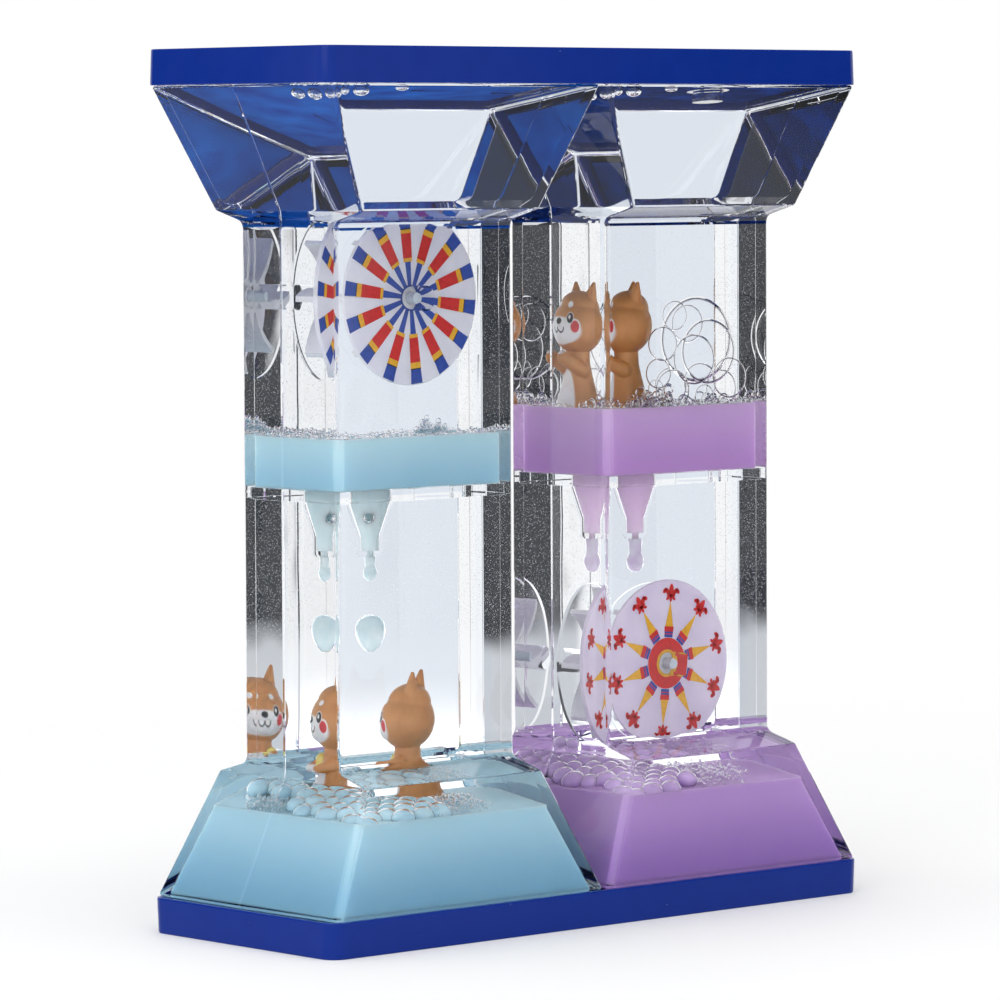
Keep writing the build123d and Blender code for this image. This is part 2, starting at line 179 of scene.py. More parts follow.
def lathe(bm, profile, place, look=0, steps=TURN_STEPS):
    """Skin of a profile of (radius, height) turned about the Z axis of a placing matrix."""
    rows = []
    for radius, height in profile:
        count = 1 if radius == 0 else steps
        row = []
        for i in range(count):
            angle = 2 * math.pi * i / count
            point = Vector((radius * math.cos(angle), radius * math.sin(angle), height))
            row.append(bm.verts.new(place @ point * MM))
        rows.append(row)
    for low, high in zip(rows, rows[1:]):
        for i in range(steps):
            j = (i + 1) % steps
            corners = [low[i % len(low)], low[j % len(low)], high[j % len(high)], high[i % len(high)]]
            face = bm.faces.new(list(dict.fromkeys(corners)))
            face.material_index = look


def unit_ball(detail):
    """Points and corner numbers of a round mesh of radius 1."""
    bm = bmesh.new()
    bmesh.ops.create_icosphere(bm, subdivisions=detail, radius=1)
    bm.verts.index_update()
    points = [vert.co.copy() for vert in bm.verts]
    corners = [[vert.index for vert in face.verts] for face in bm.faces]
    bm.free()
    return points, corners


UNIT_BALLS = {detail: unit_ball(detail) for detail in (2, 3, 4)}


def ball(bm, centre, radii, detail=3, inside_out=False):
    """A ball drawn out along the axes."""
    points, corners = UNIT_BALLS[detail]
    size = Vector(radii)
    verts = [bm.verts.new((centre + point * size) * MM) for point in points]
    for numbers in corners:
        bm.faces.new([verts[number] for number in (reversed(numbers) if inside_out else numbers)])


def piece(name, bm, looks, stands_for=(), smooth=None, body="frame"):
    """A shown object made from a bmesh, riding on a CAD body and smooth up to an angle."""
    mesh = bpy.data.meshes.new(name)
    bm.to_mesh(mesh)
    bm.free()
    for look in looks:
        mesh.materials.append(look)
    obj = bpy.data.objects.new(name, mesh)
    bpy.context.scene.collection.objects.link(obj)
    if smooth is not None:
        mesh.shade_smooth()
        mesh.set_sharp_from_angle(angle=math.radians(smooth))
    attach(obj, body)
    if stands_for:
        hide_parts(*stands_for)
    return obj


def baked(obj):
    """Puts the result of an object's modifiers into its own mesh."""
    depsgraph = bpy.context.evaluated_depsgraph_get()
    mesh = bpy.data.meshes.new_from_object(obj.evaluated_get(depsgraph))
    obj.modifiers.clear()
    obj.data = mesh


def carved(obj, bm):
    """Takes the solid in a bmesh away from an object."""
    mesh = bpy.data.meshes.new("cutter")
    bm.to_mesh(mesh)
    bm.free()
    cutter = bpy.data.objects.new("cutter", mesh)
    bpy.context.scene.collection.objects.link(cutter)
    cut = obj.modifiers.new("cut", "BOOLEAN")
    cut.operation = "DIFFERENCE"
    cut.object = cutter
    baked(obj)
    bpy.data.objects.remove(cutter)
    bpy.data.meshes.remove(mesh)


# Material helpers

DUST_SPACING = 0.42
DUST_LOW_Z = (44, 48)
DUST_HIGH_Z = (110, 112)
DUST_SIZE = (0.15, 0.22)   # shares of the spacing: where a speck fades and where it ends
CAP_DUST = 4.0


def screen(red, green, blue):
    """Linear colour of an 8-bit screen colour."""
    def linear(value):
        share = value / 255
        return share / 12.92 if share <= 0.04045 else ((share + 0.055) / 1.055) ** 2.4
    return (linear(red), linear(green), linear(blue), 1.0)


WHITE = (1.0, 1.0, 1.0, 1.0)


def filled(node, values):
    """A node with some of its sockets set by their names."""
    for name, value in values.items():
        node.inputs[name.replace("_", " ")].default_value = value
    return node


class Nodes:
    """Nodes of one shader tree. A value is a plain one or the output of another node."""

    def __init__(self, tree):
        self.tree = tree

    def node(self, kind, **inputs):
        return filled(self.tree.nodes.new(kind), inputs)

    def feed(self, sockets, *values):
        for socket, value in zip(sockets, values):
            if isinstance(value, bpy.types.NodeSocket):
                self.tree.links.new(value, socket)
            else:
                socket.default_value = value

    def math(self, operation, *values, kind="ShaderNodeMath"):
        made = self.node(kind)
        made.operation = operation
        self.feed(made.inputs, *values)
        return made.outputs["Value"]

    def vector(self, operation, *values):
        return self.math(operation, *values, kind="ShaderNodeVectorMath")

    def span(self, value, low, high, to_low, to_high):
        """A value moved smoothly from one span to another."""
        made = self.node("ShaderNodeMapRange")
        made.interpolation_type = "SMOOTHSTEP"
        self.feed(made.inputs, value, low, high, to_low, to_high)
        return made.outputs["Result"]

    def mixed(self, factor, first, second, way="MIX"):
        """One colour laid over another."""
        made = self.node("ShaderNodeMix")
        made.data_type = "RGBA"
        made.blend_type = way
        self.feed((made.inputs["Factor"], made.inputs[6], made.inputs[7]), factor, first, second)
        return made.outputs[2]

    def faded(self, factor, first, second):
        """One shader faded into another."""
        made = self.node("ShaderNodeMixShader")
        self.feed(made.inputs, factor, first, second)
        return made.outputs[0]


class Look(Nodes):
    """A material of one Principled shader, with textures in object space to feed it."""

    def __init__(self, name, colour, **sockets):
        self.material = bpy.data.materials.new(name)
        self.material.use_nodes = True
        super().__init__(self.material.node_tree)
        self.shader = filled(self.tree.nodes["Principled BSDF"], {"Base_Color": colour, **sockets})
        self.place = self.node("ShaderNodeTexCoord").outputs["Object"]

    def texture(self, kind, size, output, **inputs):
        made = self.node(kind, Scale=1 / (size * MM), **inputs)
        self.feed([made.inputs["Vector"]], self.place)
        return made.outputs[output]

    def noise(self, size, detail=3.0):
        """Noise whose patches are about a given size."""
        return self.texture("ShaderNodeTexNoise", size, "Fac", Detail=detail)

    def dots(self, spacing):
        """Distance from the nearest of many scattered points, as a share of their spacing."""
        return self.texture("ShaderNodeTexVoronoi", spacing, "Distance")

    def axes(self):
        """Place along X, Y and Z, in metres."""
        made = self.node("ShaderNodeSeparateXYZ")
        self.feed(made.inputs, self.place)
        return made.outputs

    def ramp(self, value, *stops):
        """Colours along a value, as (place, colour) stops."""
        made = self.node("ShaderNodeValToRGB")
        ramp = made.color_ramp
        while len(ramp.elements) < len(stops):
            ramp.elements.new(0.5)
        for element, (place, colour) in zip(ramp.elements, stops):
            element.position = place
            element.color = colour
        self.feed(made.inputs, value)
        return made.outputs["Color"]

    def put(self, socket, value):
        self.feed([self.shader.inputs[socket]], value)
        return self

    def mottled(self, size, detail, *stops):
        """Colour along noise."""
        return self.put("Base Color", self.ramp(self.noise(size, detail), *stops))

    def rough(self, size, detail, low, high, least, most):
        """Roughness along noise."""
        return self.put("Roughness", self.span(self.noise(size, detail), low, high, least, most))

    def bump(self, size, depth, detail=3.0):
        """Relief of a given depth along noise."""
        made = self.node("ShaderNodeBump", Strength=1.0, Distance=depth * MM)
        self.feed([made.inputs["Height"]], self.noise(size, detail))
        return self.put("Normal", made.outputs["Normal"])


def clear_plastic(name, ior, tint, dusty_x=None):
    """Clear moulding with slow waves, and fine dust on a column's rear wall and the one at dusty_x."""
    look = Look(name, tint, IOR=ior, Transmission_Weight=1.0, Roughness=0.0).bump(14.0, 0.05, 1.0)
    if dusty_x is None:
        return look.rough(3.0, 2.0, 0.6, 0.8, 0.0, 0.01).material
    x, y, z = look.axes()
    walls = [look.span(along, (wall - 0.4) * MM, (wall - 0.1) * MM, 0.0, 1.0)
             for along, wall in ((y, COLUMN_Y), (x, dusty_x))]
    column = look.math("MULTIPLY", look.span(z, DUST_LOW_Z[0] * MM, DUST_LOW_Z[1] * MM, 0.0, 1.0),
                       look.span(z, DUST_HIGH_Z[0] * MM, DUST_HIGH_Z[1] * MM, 1.0, 0.0))
    where = look.math("MULTIPLY", look.math("MAXIMUM", *walls), column)
    specks = look.span(look.dots(DUST_SPACING), *DUST_SIZE, 0.6, 0.0)
    return look.put("Roughness", look.math("MULTIPLY", where, specks)).material


def hazy_clear(name, ior, tint, low, high, most, size=0.8):
    """Clear matter with a trace of haze on its skin."""
    look = Look(name, tint, IOR=ior, Transmission_Weight=1.0)
    return look.rough(size, 3.0, low, high, 0.0, most).material


def film_bubble():
    """Clear film of a bubble in oil, with a painted grey rim where it is seen edge-on: painted shade in
    place of the darker surroundings its edge would bend into view.
    """
    look = Look("thin_bubble", WHITE, IOR=0.965, Transmission_Weight=1.0)
    edge = look.node("ShaderNodeLayerWeight", Blend=0.5).outputs["Facing"]
    look.put("Base Color", look.ramp(edge, (0.68, WHITE), (0.82, (0.16, 0.15, 0.18, 1.0))))
    return look.rough(0.8, 3.0, 0.5, 0.8, 0.0, 0.03).material


def gloss_blue():
    """Glossy moulded plastic with a few specks of dust."""
    look = Look("cap_blue", screen(10, 44, 138), Roughness=0.2, Specular_IOR_Level=0.15)
    look.put("Base Color", look.ramp(look.dots(CAP_DUST), (0.014, screen(120, 138, 190)),
                                     (0.028, screen(9, 42, 131)), (0.8, screen(10, 44, 135))))
    return look.rough(5.0, 2.0, 0.3, 0.75, 0.18, 0.24).bump(0.8, 0.0015, 2.0).material


def glued_blue():
    """The cap's plastic behind the clear end walls: without shine, and with painted shade that makes it
    darker over the right tank, which gets less light.
    """
    look = Look("glued_blue", screen(16, 84, 190), Roughness=0.9, Specular_IOR_Level=0.0)
    # painted shade: the pads darken from the middle of the caps towards the right tank
    shade = look.span(look.axes()[0], 0.0, 10 * MM, 1.0, 0.4)
    cloud = look.math("MULTIPLY", look.noise(9.0), shade)
    return look.put("Base Color", look.ramp(cloud, (0.2, screen(6, 38, 100)), (0.3, screen(10, 62, 158)),
                                            (0.7, screen(22, 104, 200)))).material


def milky(name, colour, roughness, weight, scale, radius=(1.0, 1.0, 1.0), **sockets):
    """A look that scatters light under its surface."""
    return Look(name, colour, Roughness=roughness, Subsurface_Weight=weight, Subsurface_Scale=scale * MM,
                Subsurface_Radius=radius, **sockets)


def milky_liquid(name, low_z, high_z, low, high):
    """Milky liquid, paler near its surface and darker lower down: painted light and shade."""
    look = milky(name, high, 0.25, 0.7, 2.5, IOR=1.09)
    share = look.span(look.axes()[2], low_z * MM, high_z * MM, 0.0, 1.0)
    cloud = look.math("MULTIPLY_ADD", look.noise(6.0, 2.0), 0.14, share)
    return look.put("Base Color", look.ramp(cloud, (0.05, low), (1.0, high))).bump(2.0, 0.02).material


def drop_liquid(name, colour):
    """Pale liquid of a drop, half see-through."""
    look = Look(name, colour, Roughness=0.05, IOR=0.94, Transmission_Weight=0.5)
    look.mottled(3.0, 2.0, (0.2, colour), (0.8, (0.9, 0.95, 0.96, 1.0)))
    return look.rough(1.0, 3.0, 0.3, 0.7, 0.02, 0.10).material


def bead_core(name, shade, colour):
    """Milky liquid of a bead."""
    look = milky(name, colour, 0.3, 0.6, 1.2, IOR=1.05)
    return look.mottled(4.0, 2.0, (0.3, shade), (0.7, colour)).material


def painted(name, colour, dark):
    """Printed or moulded colour with faint mottling."""
    look = Look(name, colour, Roughness=0.4).mottled(0.7, 5.0, (0.3, dark), (0.55, colour))
    return look.rough(0.9, 5.0, 0.3, 0.7, 0.28, 0.5).bump(0.35, 0.006, 4.0).material


def milky_plastic(name, colour, shade):
    """Translucent white or tinted moulding."""
    look = milky(name, colour, 0.35, 0.6, 1.5, (1.0, 0.95, 0.95))
    look.mottled(5.0, 4.0, (0.3, shade), (0.65, colour))
    return look.rough(1.0, 5.0, 0.3, 0.7, 0.28, 0.45).bump(0.6, 0.006, 4.0).material


def steel():
    look = Look("steel", (0.55, 0.55, 0.57, 1.0), Metallic=1.0, Roughness=0.35)
    look.mottled(0.8, 6.0, (0.3, (0.45, 0.45, 0.47, 1)), (0.7, (0.62, 0.62, 0.64, 1)))
    return look.rough(0.5, 6.0, 0.3, 0.7, 0.25, 0.5).bump(0.3, 0.004).material


PLASTIC_IOR = 1.49
OIL_IOR = 1.45
WATER_CLEAR = (0.975, 0.985, 0.995, 1.0)
CLEAR_OUTER = {side: clear_plastic(side + "_clear_outer", PLASTIC_IOR, WATER_CLEAR, TANK_X[side] + COLUMN_X)
               for side in SIDES}
OIL_CLEAR = (0.99, 0.995, 1.0, 1.0)
CLEAR_INNER = clear_plastic("clear_inner", PLASTIC_IOR / OIL_IOR, OIL_CLEAR)
CLEAR_FITTING = clear_plastic("clear_fitting", 1.05, OIL_CLEAR)
CLEAR_DRY = clear_plastic("clear_plug", PLASTIC_IOR, WATER_CLEAR)
SEAM = hazy_clear("seam", 1.0, (0.97, 0.98, 1.0, 1.0), 0.4, 0.7, 0.15, 1.5)
CAP_BLUE = gloss_blue()
PAD_BLUE = glued_blue()
PADDLE_WHITE = milky_plastic("paddle_white", screen(238, 238, 244), screen(222, 222, 232))
DISC = {
    "left": milky_plastic("disc_white", screen(236, 235, 244), screen(224, 222, 236)),
    "right": milky_plastic("disc_lilac", screen(229, 220, 238), screen(219, 208, 231)),
}
STEEL = steel()
PIN = painted("axle_pale", screen(205, 215, 225), screen(185, 195, 208))


# Caps

def cap_mesh():
    """Drafted tray with a rounded closed face at height 0, and the rib between the tanks' necks."""
    bm = bmesh.new()
    outer_x, outer_y, rim_z = CAP_HIGH.x, CAP_HIGH.y, CAP_HIGH.z
    closed = station(outer_x - CAP_DRAFT, outer_y - CAP_DRAFT, CAP_CORNER, 0)
    rim = station(outer_x, outer_y, CAP_CORNER + CAP_DRAFT, rim_z)
    edge = station(closed[0] - CAP_CORNER / 2, closed[1] - CAP_CORNER / 2, CAP_CORNER / 2, 0)
    inner_corner = CAP_CORNER - CAP_WALL
    inner_rim = station(outer_x - CAP_WALL, outer_y - CAP_WALL, inner_corner, rim_z)
    inner_floor = station(closed[0] - CAP_WALL, closed[1] - CAP_WALL, inner_corner, CAP_FLOOR)
    inner_edge = station(inner_floor[0] - 1, inner_floor[1] - 1, inner_corner / 2, CAP_FLOOR)
    profile = softened([edge, closed, rim, inner_rim, inner_floor, inner_edge], CAP_EDGE)
    loft(bm, [ring(at) for at in profile])
    rib_top = CAP_FLOOR + CAP_RIB_HEIGHT
    rib = [station(CAP_RIB / 2 - inset, inner_floor[1] - inset, RIB_EDGE, z)
           for inset, z in ((0, CAP_FLOOR), (0, rib_top - RIB_EDGE), (RIB_EDGE, rib_top))]
    loft(bm, [ring(at) for at in rib])
    pad_x, pad_y = FOOT_X - NECK_INSET - WALL - PAD_PLAY, FOOT_Y - NECK_INSET - WALL - PAD_PLAY
    for centre_x in TANK_X.values():
        loft(bm, [ring(station(pad_x, pad_y, FOOT_CORNER / 2, z), centre_x)
                  for z in (CAP_FLOOR, FLOOR_Z - END_WALL - PAD_PLAY)], look=1)
    return bm


def make_caps():
    for name in ("base_cap", "top_cap"):
        bm = cap_mesh()
        if name == "top_cap":
            turn = Matrix.Translation((0, 0, HEIGHT * MM)) @ Matrix.Rotation(math.pi, 4, "X")
            bmesh.ops.transform(bm, matrix=turn, verts=bm.verts)
        piece(name + "_tray", bm, [CAP_BLUE, PAD_BLUE], [name], smooth=35)


# Tanks

def foot_half(z):
    """Half width and half depth of a tank's foot at a height."""
    rise = z - FLANGE_Z - FOOT_EDGE
    tall = SHOULDER_Z - FLANGE_Z - FOOT_EDGE
    return FOOT_X - (FOOT_X - SHOULDER_X) * rise / tall, FOOT_Y - (FOOT_Y - SHOULDER_Y) * rise / tall


def outer_profile():
    """Outside of a tank from the roof of its lower recess to the roof of its upper one."""
    neck_x, neck_y = FOOT_X - NECK_INSET, FOOT_Y - NECK_INSET
    recess_roof = FLOOR_Z - END_WALL
    flange = FLANGE_Z + FOOT_EDGE
    end = softened([
        station(neck_x - WALL, neck_y - WALL, FOOT_CORNER / 2, recess_roof),
        station(neck_x - WALL, neck_y - WALL, FOOT_CORNER / 2, NECK_Z),
        station(neck_x, neck_y, FOOT_CORNER, NECK_Z),
        station(neck_x, neck_y, FOOT_CORNER, FLANGE_Z),
        station(FOOT_X - FOOT_EDGE / 2, FOOT_Y - FOOT_EDGE / 2, FOOT_CORNER, FLANGE_Z),
        station(FOOT_X, FOOT_Y, FOOT_CORNER, flange),
        station(*foot_half(SHOULDER_Z), FOOT_CORNER, SHOULDER_Z),
        station(COLUMN_X, COLUMN_Y, COLUMN_CORNER, COLUMN_Z),
        station(COLUMN_X, COLUMN_Y, COLUMN_CORNER, MIDDLE_Z),
    ], 0.2, 0.2, 0.2, 0.2, 0.2, 0.35, 1.3, 0.8)
    return end[:-1] + flipped(end[:-1])


ROOF_Z = SHOULDER_Z - WALL
THROAT_Z = COLUMN_Z - WALL


def cavity_half(z):
    """Half width and half depth of the space in a tank's lower half at a height."""
    share = min(1.0, max(0.0, (z - ROOF_Z) / (THROAT_Z - ROOF_Z)))
    foot_x, foot_y = foot_half(min(z, ROOF_Z))
    return foot_x + (COLUMN_X - foot_x) * share - WALL, foot_y + (COLUMN_Y - foot_y) * share - WALL


def tank_mesh(side):
    """Both skins of a tank, and the bosses that carry its wheel."""
    bm = bmesh.new()
    centre_x = TANK_X[side]
    loft(bm, [ring(at, centre_x) for at in outer_profile()], end_look=2)
    low = [station(*cavity_half(z), CAVITY_CORNER, z) for z in (FLOOR_Z, ROOF_Z, THROAT_Z)]
    column = low[-1]
    groove_z = MIDDLE_Z - GROOVE_HALF
    half = softened([low[0] - station(CAVITY_INSET, CAVITY_INSET, 0, 0)] + low, CAVITY_BEND)
    half += [station(column[0] + depth, column[1] + depth, CAVITY_CORNER, groove_z)
             for depth in (0, GROOVE_DEPTH)]
    loft(bm, [ring(at, centre_x) for at in half + flipped(half)], look=1, end_look=2, inside_out=True)

    disc_low, disc_high = box_mm(side + "_wheel_disc")
    back_high = box_mm(side + "_wheel_back")[1]
    hub = (disc_low + disc_high) / 2
    wall_y = COLUMN_Y - WALL - BOSS_SEAT
    for start, end in ((-wall_y, disc_low.y - BOSS_PLAY), (wall_y, back_high.y + BOSS_PLAY)):
        length = abs(end - start)
        facing = Matrix.Rotation(math.copysign(math.pi / 2, start), 4, "X")
        place = Matrix.Translation((hub.x, start, hub.z)) @ facing
        lathe(bm, [(0, 0), (BOSS_RADIUS, 0), (BOSS_RADIUS, length - BOSS_EDGE),
                   (BOSS_RADIUS - BOSS_EDGE, length), (0, length)], place, look=1)
    return bm


def half_shell(side, front):
    """One moulded half of a tank, nicked along its glued seam."""
    bm = tank_mesh(side)
    lip = SEAM_Y + (-SEAM_LIP if front else SEAM_LIP)
    for height, clears in ((lip, False), (SEAM_Y, True)):
        cut = bmesh.ops.bisect_plane(
            bm, geom=bm.verts[:] + bm.edges[:] + bm.faces[:], dist=1e-8,
            plane_co=(0, height * MM, 0), plane_no=(0, 1, 0),
            clear_outer=clears and front, clear_inner=clears and not front)
    rim = [item for item in cut["geom_cut"] if isinstance(item, bmesh.types.BMEdge)]
    for vert in bm.verts:
        across = vert.co.x - TANK_X[side] * MM
        if abs(vert.co.y - SEAM_Y * MM) < 1.1 * SEAM_LIP * MM and abs(across) > BOSS_RADIUS * 2 * MM:
            vert.co.x += math.copysign(SEAM_SWELL * MM, across)
    bm.normal_update()
    for vert in {vert for edge in rim for vert in edge.verts}:
        outside = [face for face in vert.link_faces if face.material_index == 0]
        if outside:
            inwards = vert.normal.copy()
            inwards.y = 0
            vert.co -= inwards.normalized() * SEAM_NICK * MM
    glued = bmesh.ops.triangle_fill(bm, use_beauty=True, edges=rim)
    for face in glued["geom"]:
        if isinstance(face, bmesh.types.BMFace):
            face.material_index = 2
            face.normal_update()
            if (face.normal.y > 0) != front:
                face.normal_flip()
    node = side + ("_front_shell" if front else "_rear_shell")
    looks = [CLEAR_OUTER[side], CLEAR_INNER, SEAM]
    piece(node + "_moulding", bm, looks, [node])


# Fittings that keep their CAD solids

def dress(node, look, rounding=None):
    """Gives a CAD node its material, and rounds its edges."""
    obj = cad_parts[node]
    obj.data.materials.clear()
    obj.data.materials.append(look)
    if rounding:
        bevel = obj.modifiers.new("rounded", "BEVEL")
        bevel.width = rounding * MM
        bevel.segments = 2
        bevel.limit_method = "ANGLE"


def dress_fittings(side):
    dress(side + "_divider", CLEAR_FITTING)
    dress(side + "_filler_plug", CLEAR_DRY)
    dress(side + "_wheel_axle", PIN, 0.1)
    dress(side + "_wheel_paddle", PADDLE_WHITE, 0.12)
    dress(side + "_ballast", STEEL, 0.15)


# Wheels

DISC_ROUND = 0.2
PRINT_LIFT = 0.02
AXLE_HOLE = 1.62
BACK_GAP = 0.04            # between the vanes and the clear back, so that their faces don't meet
FACING_BACK = Matrix.Rotation(-math.pi / 2, 4, "X")

SPOKES = 14
SPOKE_LEAN = -5.2          # degrees
SPOKE_BANDS = (            # inner and outer radius, inner and outer width, as shares of the disc; colour
    (0.14, 0.415, 0.050, 0.085, "blue"),
    (0.415, 0.457, 0.125, 0.130, "yellow"),
    (0.457, 0.742, 0.130, 0.152, "red"),
    (0.742, 0.81, 0.152, 0.156, "yellow"),
    (0.81, 0.824, 0.156, 0.156, "dark"),
    (0.824, 0.985, 0.150, 0.172, "blue"),
)
RAYS = 10
RAY_LEAN = 5.2             # degrees
RAY_BANDS = (
    (0.31, 0.345, 0.130, 0.135, "blue"),
    (0.345, 0.357, 0.135, 0.137, "red"),
    (0.357, 0.378, 0.137, 0.140, "blue"),
    (0.378, 0.44, 0.142, 0.150, "red"),
    (0.44, 0.735, 0.128, 0.006, "yellow"),
)
HUB_RINGS = ((0.118, 0.165, "yellow"), (0.165, 0.305, "red"))
LILY_FOOT = 0.735
LILY_HEIGHT = 0.215

PRINT_LOOKS = {name: painted("print_" + name, screen(*colour), screen(*dark)) for name, colour, dark in (
    ("blue", (32, 72, 168), (26, 60, 148)),
    ("yellow", (236, 178, 36), (222, 158, 28)),
    ("red", (214, 28, 26), (196, 20, 20)),
    ("dark", (40, 38, 60), (30, 28, 48)),
)}
PRINT_ORDER = list(PRINT_LOOKS)


def wheel_disc(side, node, name, look, gap=0.0):
    """Round-edged disc with a hole for the axle, with a gap in front of it."""
    low, high = box_mm(node)
    hub = (low + high) / 2
    radius = (high.x - low.x) / 2
    thick = high.y - low.y - gap
    bm = bmesh.new()
    edge = [(radius - DISC_ROUND + DISC_ROUND * math.sin(a), DISC_ROUND - DISC_ROUND * math.cos(a))
            for a in (math.radians(15 * step) for step in range(7))]
    over = [(r, thick - h) for r, h in reversed(edge)]
    profile = [(AXLE_HOLE, thick), (AXLE_HOLE, 0), *edge, *over, (AXLE_HOLE, thick)]
    place = Matrix.Translation((hub.x, low.y + gap, hub.z)) @ FACING_BACK
    lathe(bm, profile, place, steps=96)
    bmesh.ops.remove_doubles(bm, verts=bm.verts, dist=1e-7)
    piece(name, bm, [look], [node], smooth=35, body=side + "_wheel")


class Print:
    """Thin colour on the front of a wheel's disc, placed along rays from its hub."""

    def __init__(self, side):
        low, high = box_mm(side + "_wheel_disc")
        self.side = side
        self.hub = (low + high) / 2
        self.radius = (high.x - low.x) / 2
        self.face = low.y
        self.layer = 1
        self.bm = bmesh.new()

    def patch(self, angle, outline, colour):
        """A flat patch from (across, out) corners, anticlockwise seen from the front."""
        sine, cosine = math.sin(angle), math.cos(angle)
        corners = []
        for across, out in outline:
            x = self.hub.x + self.radius * (out * sine + across * cosine)
            z = self.hub.z + self.radius * (out * cosine - across * sine)
            corners.append(self.bm.verts.new(Vector((x, self.face - self.layer * PRINT_LIFT, z)) * MM))
        self.bm.faces.new(corners).material_index = PRINT_ORDER.index(colour)

    def band(self, angle, inner, outer, inner_width, outer_width, colour):
        self.patch(angle, [(-inner_width / 2, inner), (inner_width / 2, inner),
                           (outer_width / 2, outer), (-outer_width / 2, outer)], colour)

    def hoop(self, inner, outer, colour):
        for i in range(TURN_STEPS):
            turn = math.pi / TURN_STEPS
            self.band(2 * math.pi * i / TURN_STEPS, inner * math.cos(turn), outer * math.cos(turn),
                      2 * inner * math.sin(turn), 2 * outer * math.sin(turn), colour)

    def petal(self, angle, centre, length, width, lean, colour):
        """A pointed leaf shape."""
        outline = []
        for step in range(24):
            turn = 2 * math.pi * step / 24
            across = width / 2 * math.sin(turn) * abs(math.sin(turn)) ** 0.35
            along = -length / 2 * math.cos(turn)
            outline.append((centre[0] + across * math.cos(lean) + along * math.sin(lean),
                            centre[1] + along * math.cos(lean) - across * math.sin(lean)))
        self.patch(angle, outline, colour)

    def lily(self, angle, foot, height, colour):
        """A three-leaved lily pointing outwards, with its band and foot."""
        def at(across, out):
            return (across * height, foot + out * height)
        self.petal(angle, at(0, 0.62), 0.80 * height, 0.36 * height, 0, colour)
        self.petal(angle, at(0, 0.16), 0.36 * height, 0.20 * height, 0, colour)
        for hand in (-1, 1):
            self.petal(angle, at(hand * 0.30, 0.58), 0.52 * height, 0.26 * height, hand * 0.75, colour)
            self.petal(angle, at(hand * 0.50, 0.60), 0.34 * height, 0.24 * height, hand * 2.4, colour)
            self.petal(angle, at(hand * 0.22, 0.20), 0.34 * height, 0.18 * height, hand * 2.2, colour)
        self.patch(angle, [at(-0.32, 0.30), at(0.32, 0.30), at(0.32, 0.40), at(-0.32, 0.40)], colour)

    def done(self):
        piece(self.side + "_wheel_print", self.bm, PRINT_LOOKS.values(), body=self.side + "_wheel")


def print_spokes():
    """Striped spokes on the left wheel."""
    sheet = Print("left")
    for spoke in range(SPOKES):
        for band in SPOKE_BANDS:
            sheet.band(math.radians(SPOKE_LEAN + 360 * spoke / SPOKES), *band)
    sheet.hoop(0.118, 0.15, "blue")
    sheet.done()


def print_sun():
    """A sun with lilies at the tips of its rays on the right wheel."""
    sheet = Print("right")
    for hoop in HUB_RINGS:
        sheet.hoop(*hoop)
    for ray in range(RAYS):
        angle = math.radians(RAY_LEAN + 360 * ray / RAYS)
        sheet.layer = 1
        for band in RAY_BANDS:
            sheet.band(angle, *band)
        sheet.layer = 2
        sheet.lily(angle, LILY_FOOT, LILY_HEIGHT, "red")
    sheet.done()


# Floating puppies

FLOAT_SINK = {"left": 7.7, "right": 5.3}    # how far each float can go below its place at rest
FLOAT_TURN = {"left": -43.0, "right": -20.0}   # degrees about Z, from facing -X towards the rear
VOXEL = 0.15
BODY = ((0, 0), (4.6, 0), (5.1, 0.5), (5.15, 3), (4.5, 5.5), (3.7, 8), (3.0, 10.2), (2.5, 12.2),
        (2.4, 13.8), (2.4, 16), (0, 16))
HEAD_Z = {"left": 17.9, "right": 18.5}
FACE_LIFT = {"left": 4.0, "right": 11.0}      # degrees
EAR_TIP_Z = 25.4
CHICK = Vector((-2.4, 1.95, 9.9))
TAN = screen(204, 140, 82)
CREAM = screen(238, 236, 238)
BLACK = screen(22, 20, 22)
CHEEK = screen(214, 52, 58)
CHICK_YELLOW = screen(244, 226, 128)
CHICK_ORANGE = screen(238, 150, 60)
FACE_SPOTS = (             # degrees across and up from the middle of the face, half sizes, colour
    ((0, -20), (58, 27), CREAM),
    ((27, 34), (9, 6.5), CREAM),
    ((44, -11), (13, 14), CREAM),
    ((44, -11), (10, 11), CHEEK),
    ((32, 5), (9.4, 11.4), CREAM),
    ((32, 5), (8.0, 10.0), BLACK),
    ((30.6, 6.5), (2.9, 4.0), CREAM),
    ((0, -1), (9, 6), BLACK),
)


def limb(bm, start, end, radius, end_radius):
    """A tapering row of balls from one point to another."""
    for step in range(13):
        share = step / 12
        ball(bm, start.lerp(end, share), (radius + (end_radius - radius) * share,) * 3)


def puppy_bm(side):
    """A sitting puppy that faces -X, its base at the origin."""
    bm = bmesh.new()
    head = Vector((0, 0, HEAD_Z[side]))
    lathe(bm, BODY, Matrix.Identity(4))
    ball(bm, head, (5.15, 5.4, 4.7), 4)
    ball(bm, head + Vector((0.4, 0, 2.6)), (4.1, 4.2, 3.2), 4)
    ball(bm, head + Vector((-3.4, 0, -1.4)), (1.8, 2.5, 1.9))
    ball(bm, head + Vector((-5.1, 0, -0.2)), (0.35, 0.65, 0.42))
    for hand in (-1, 1):
        ball(bm, Vector((-3.3, hand * 2.6, 1.5)), (2.1, 1.7, 1.5))
        limb(bm, head + Vector((1.3, hand * 2.0, 3.6)), Vector((1.9, hand * 2.9, EAR_TIP_Z)), 1.7, 0.4)
        paw = Vector((-4.6, hand * 2.4, 9.8)) if side == "left" else Vector((-5.4, hand * 1.7, 13.4))
        limb(bm, Vector((-0.6, hand * 2.4, 11.2)), paw, 1.3, 1.2)
    return bm


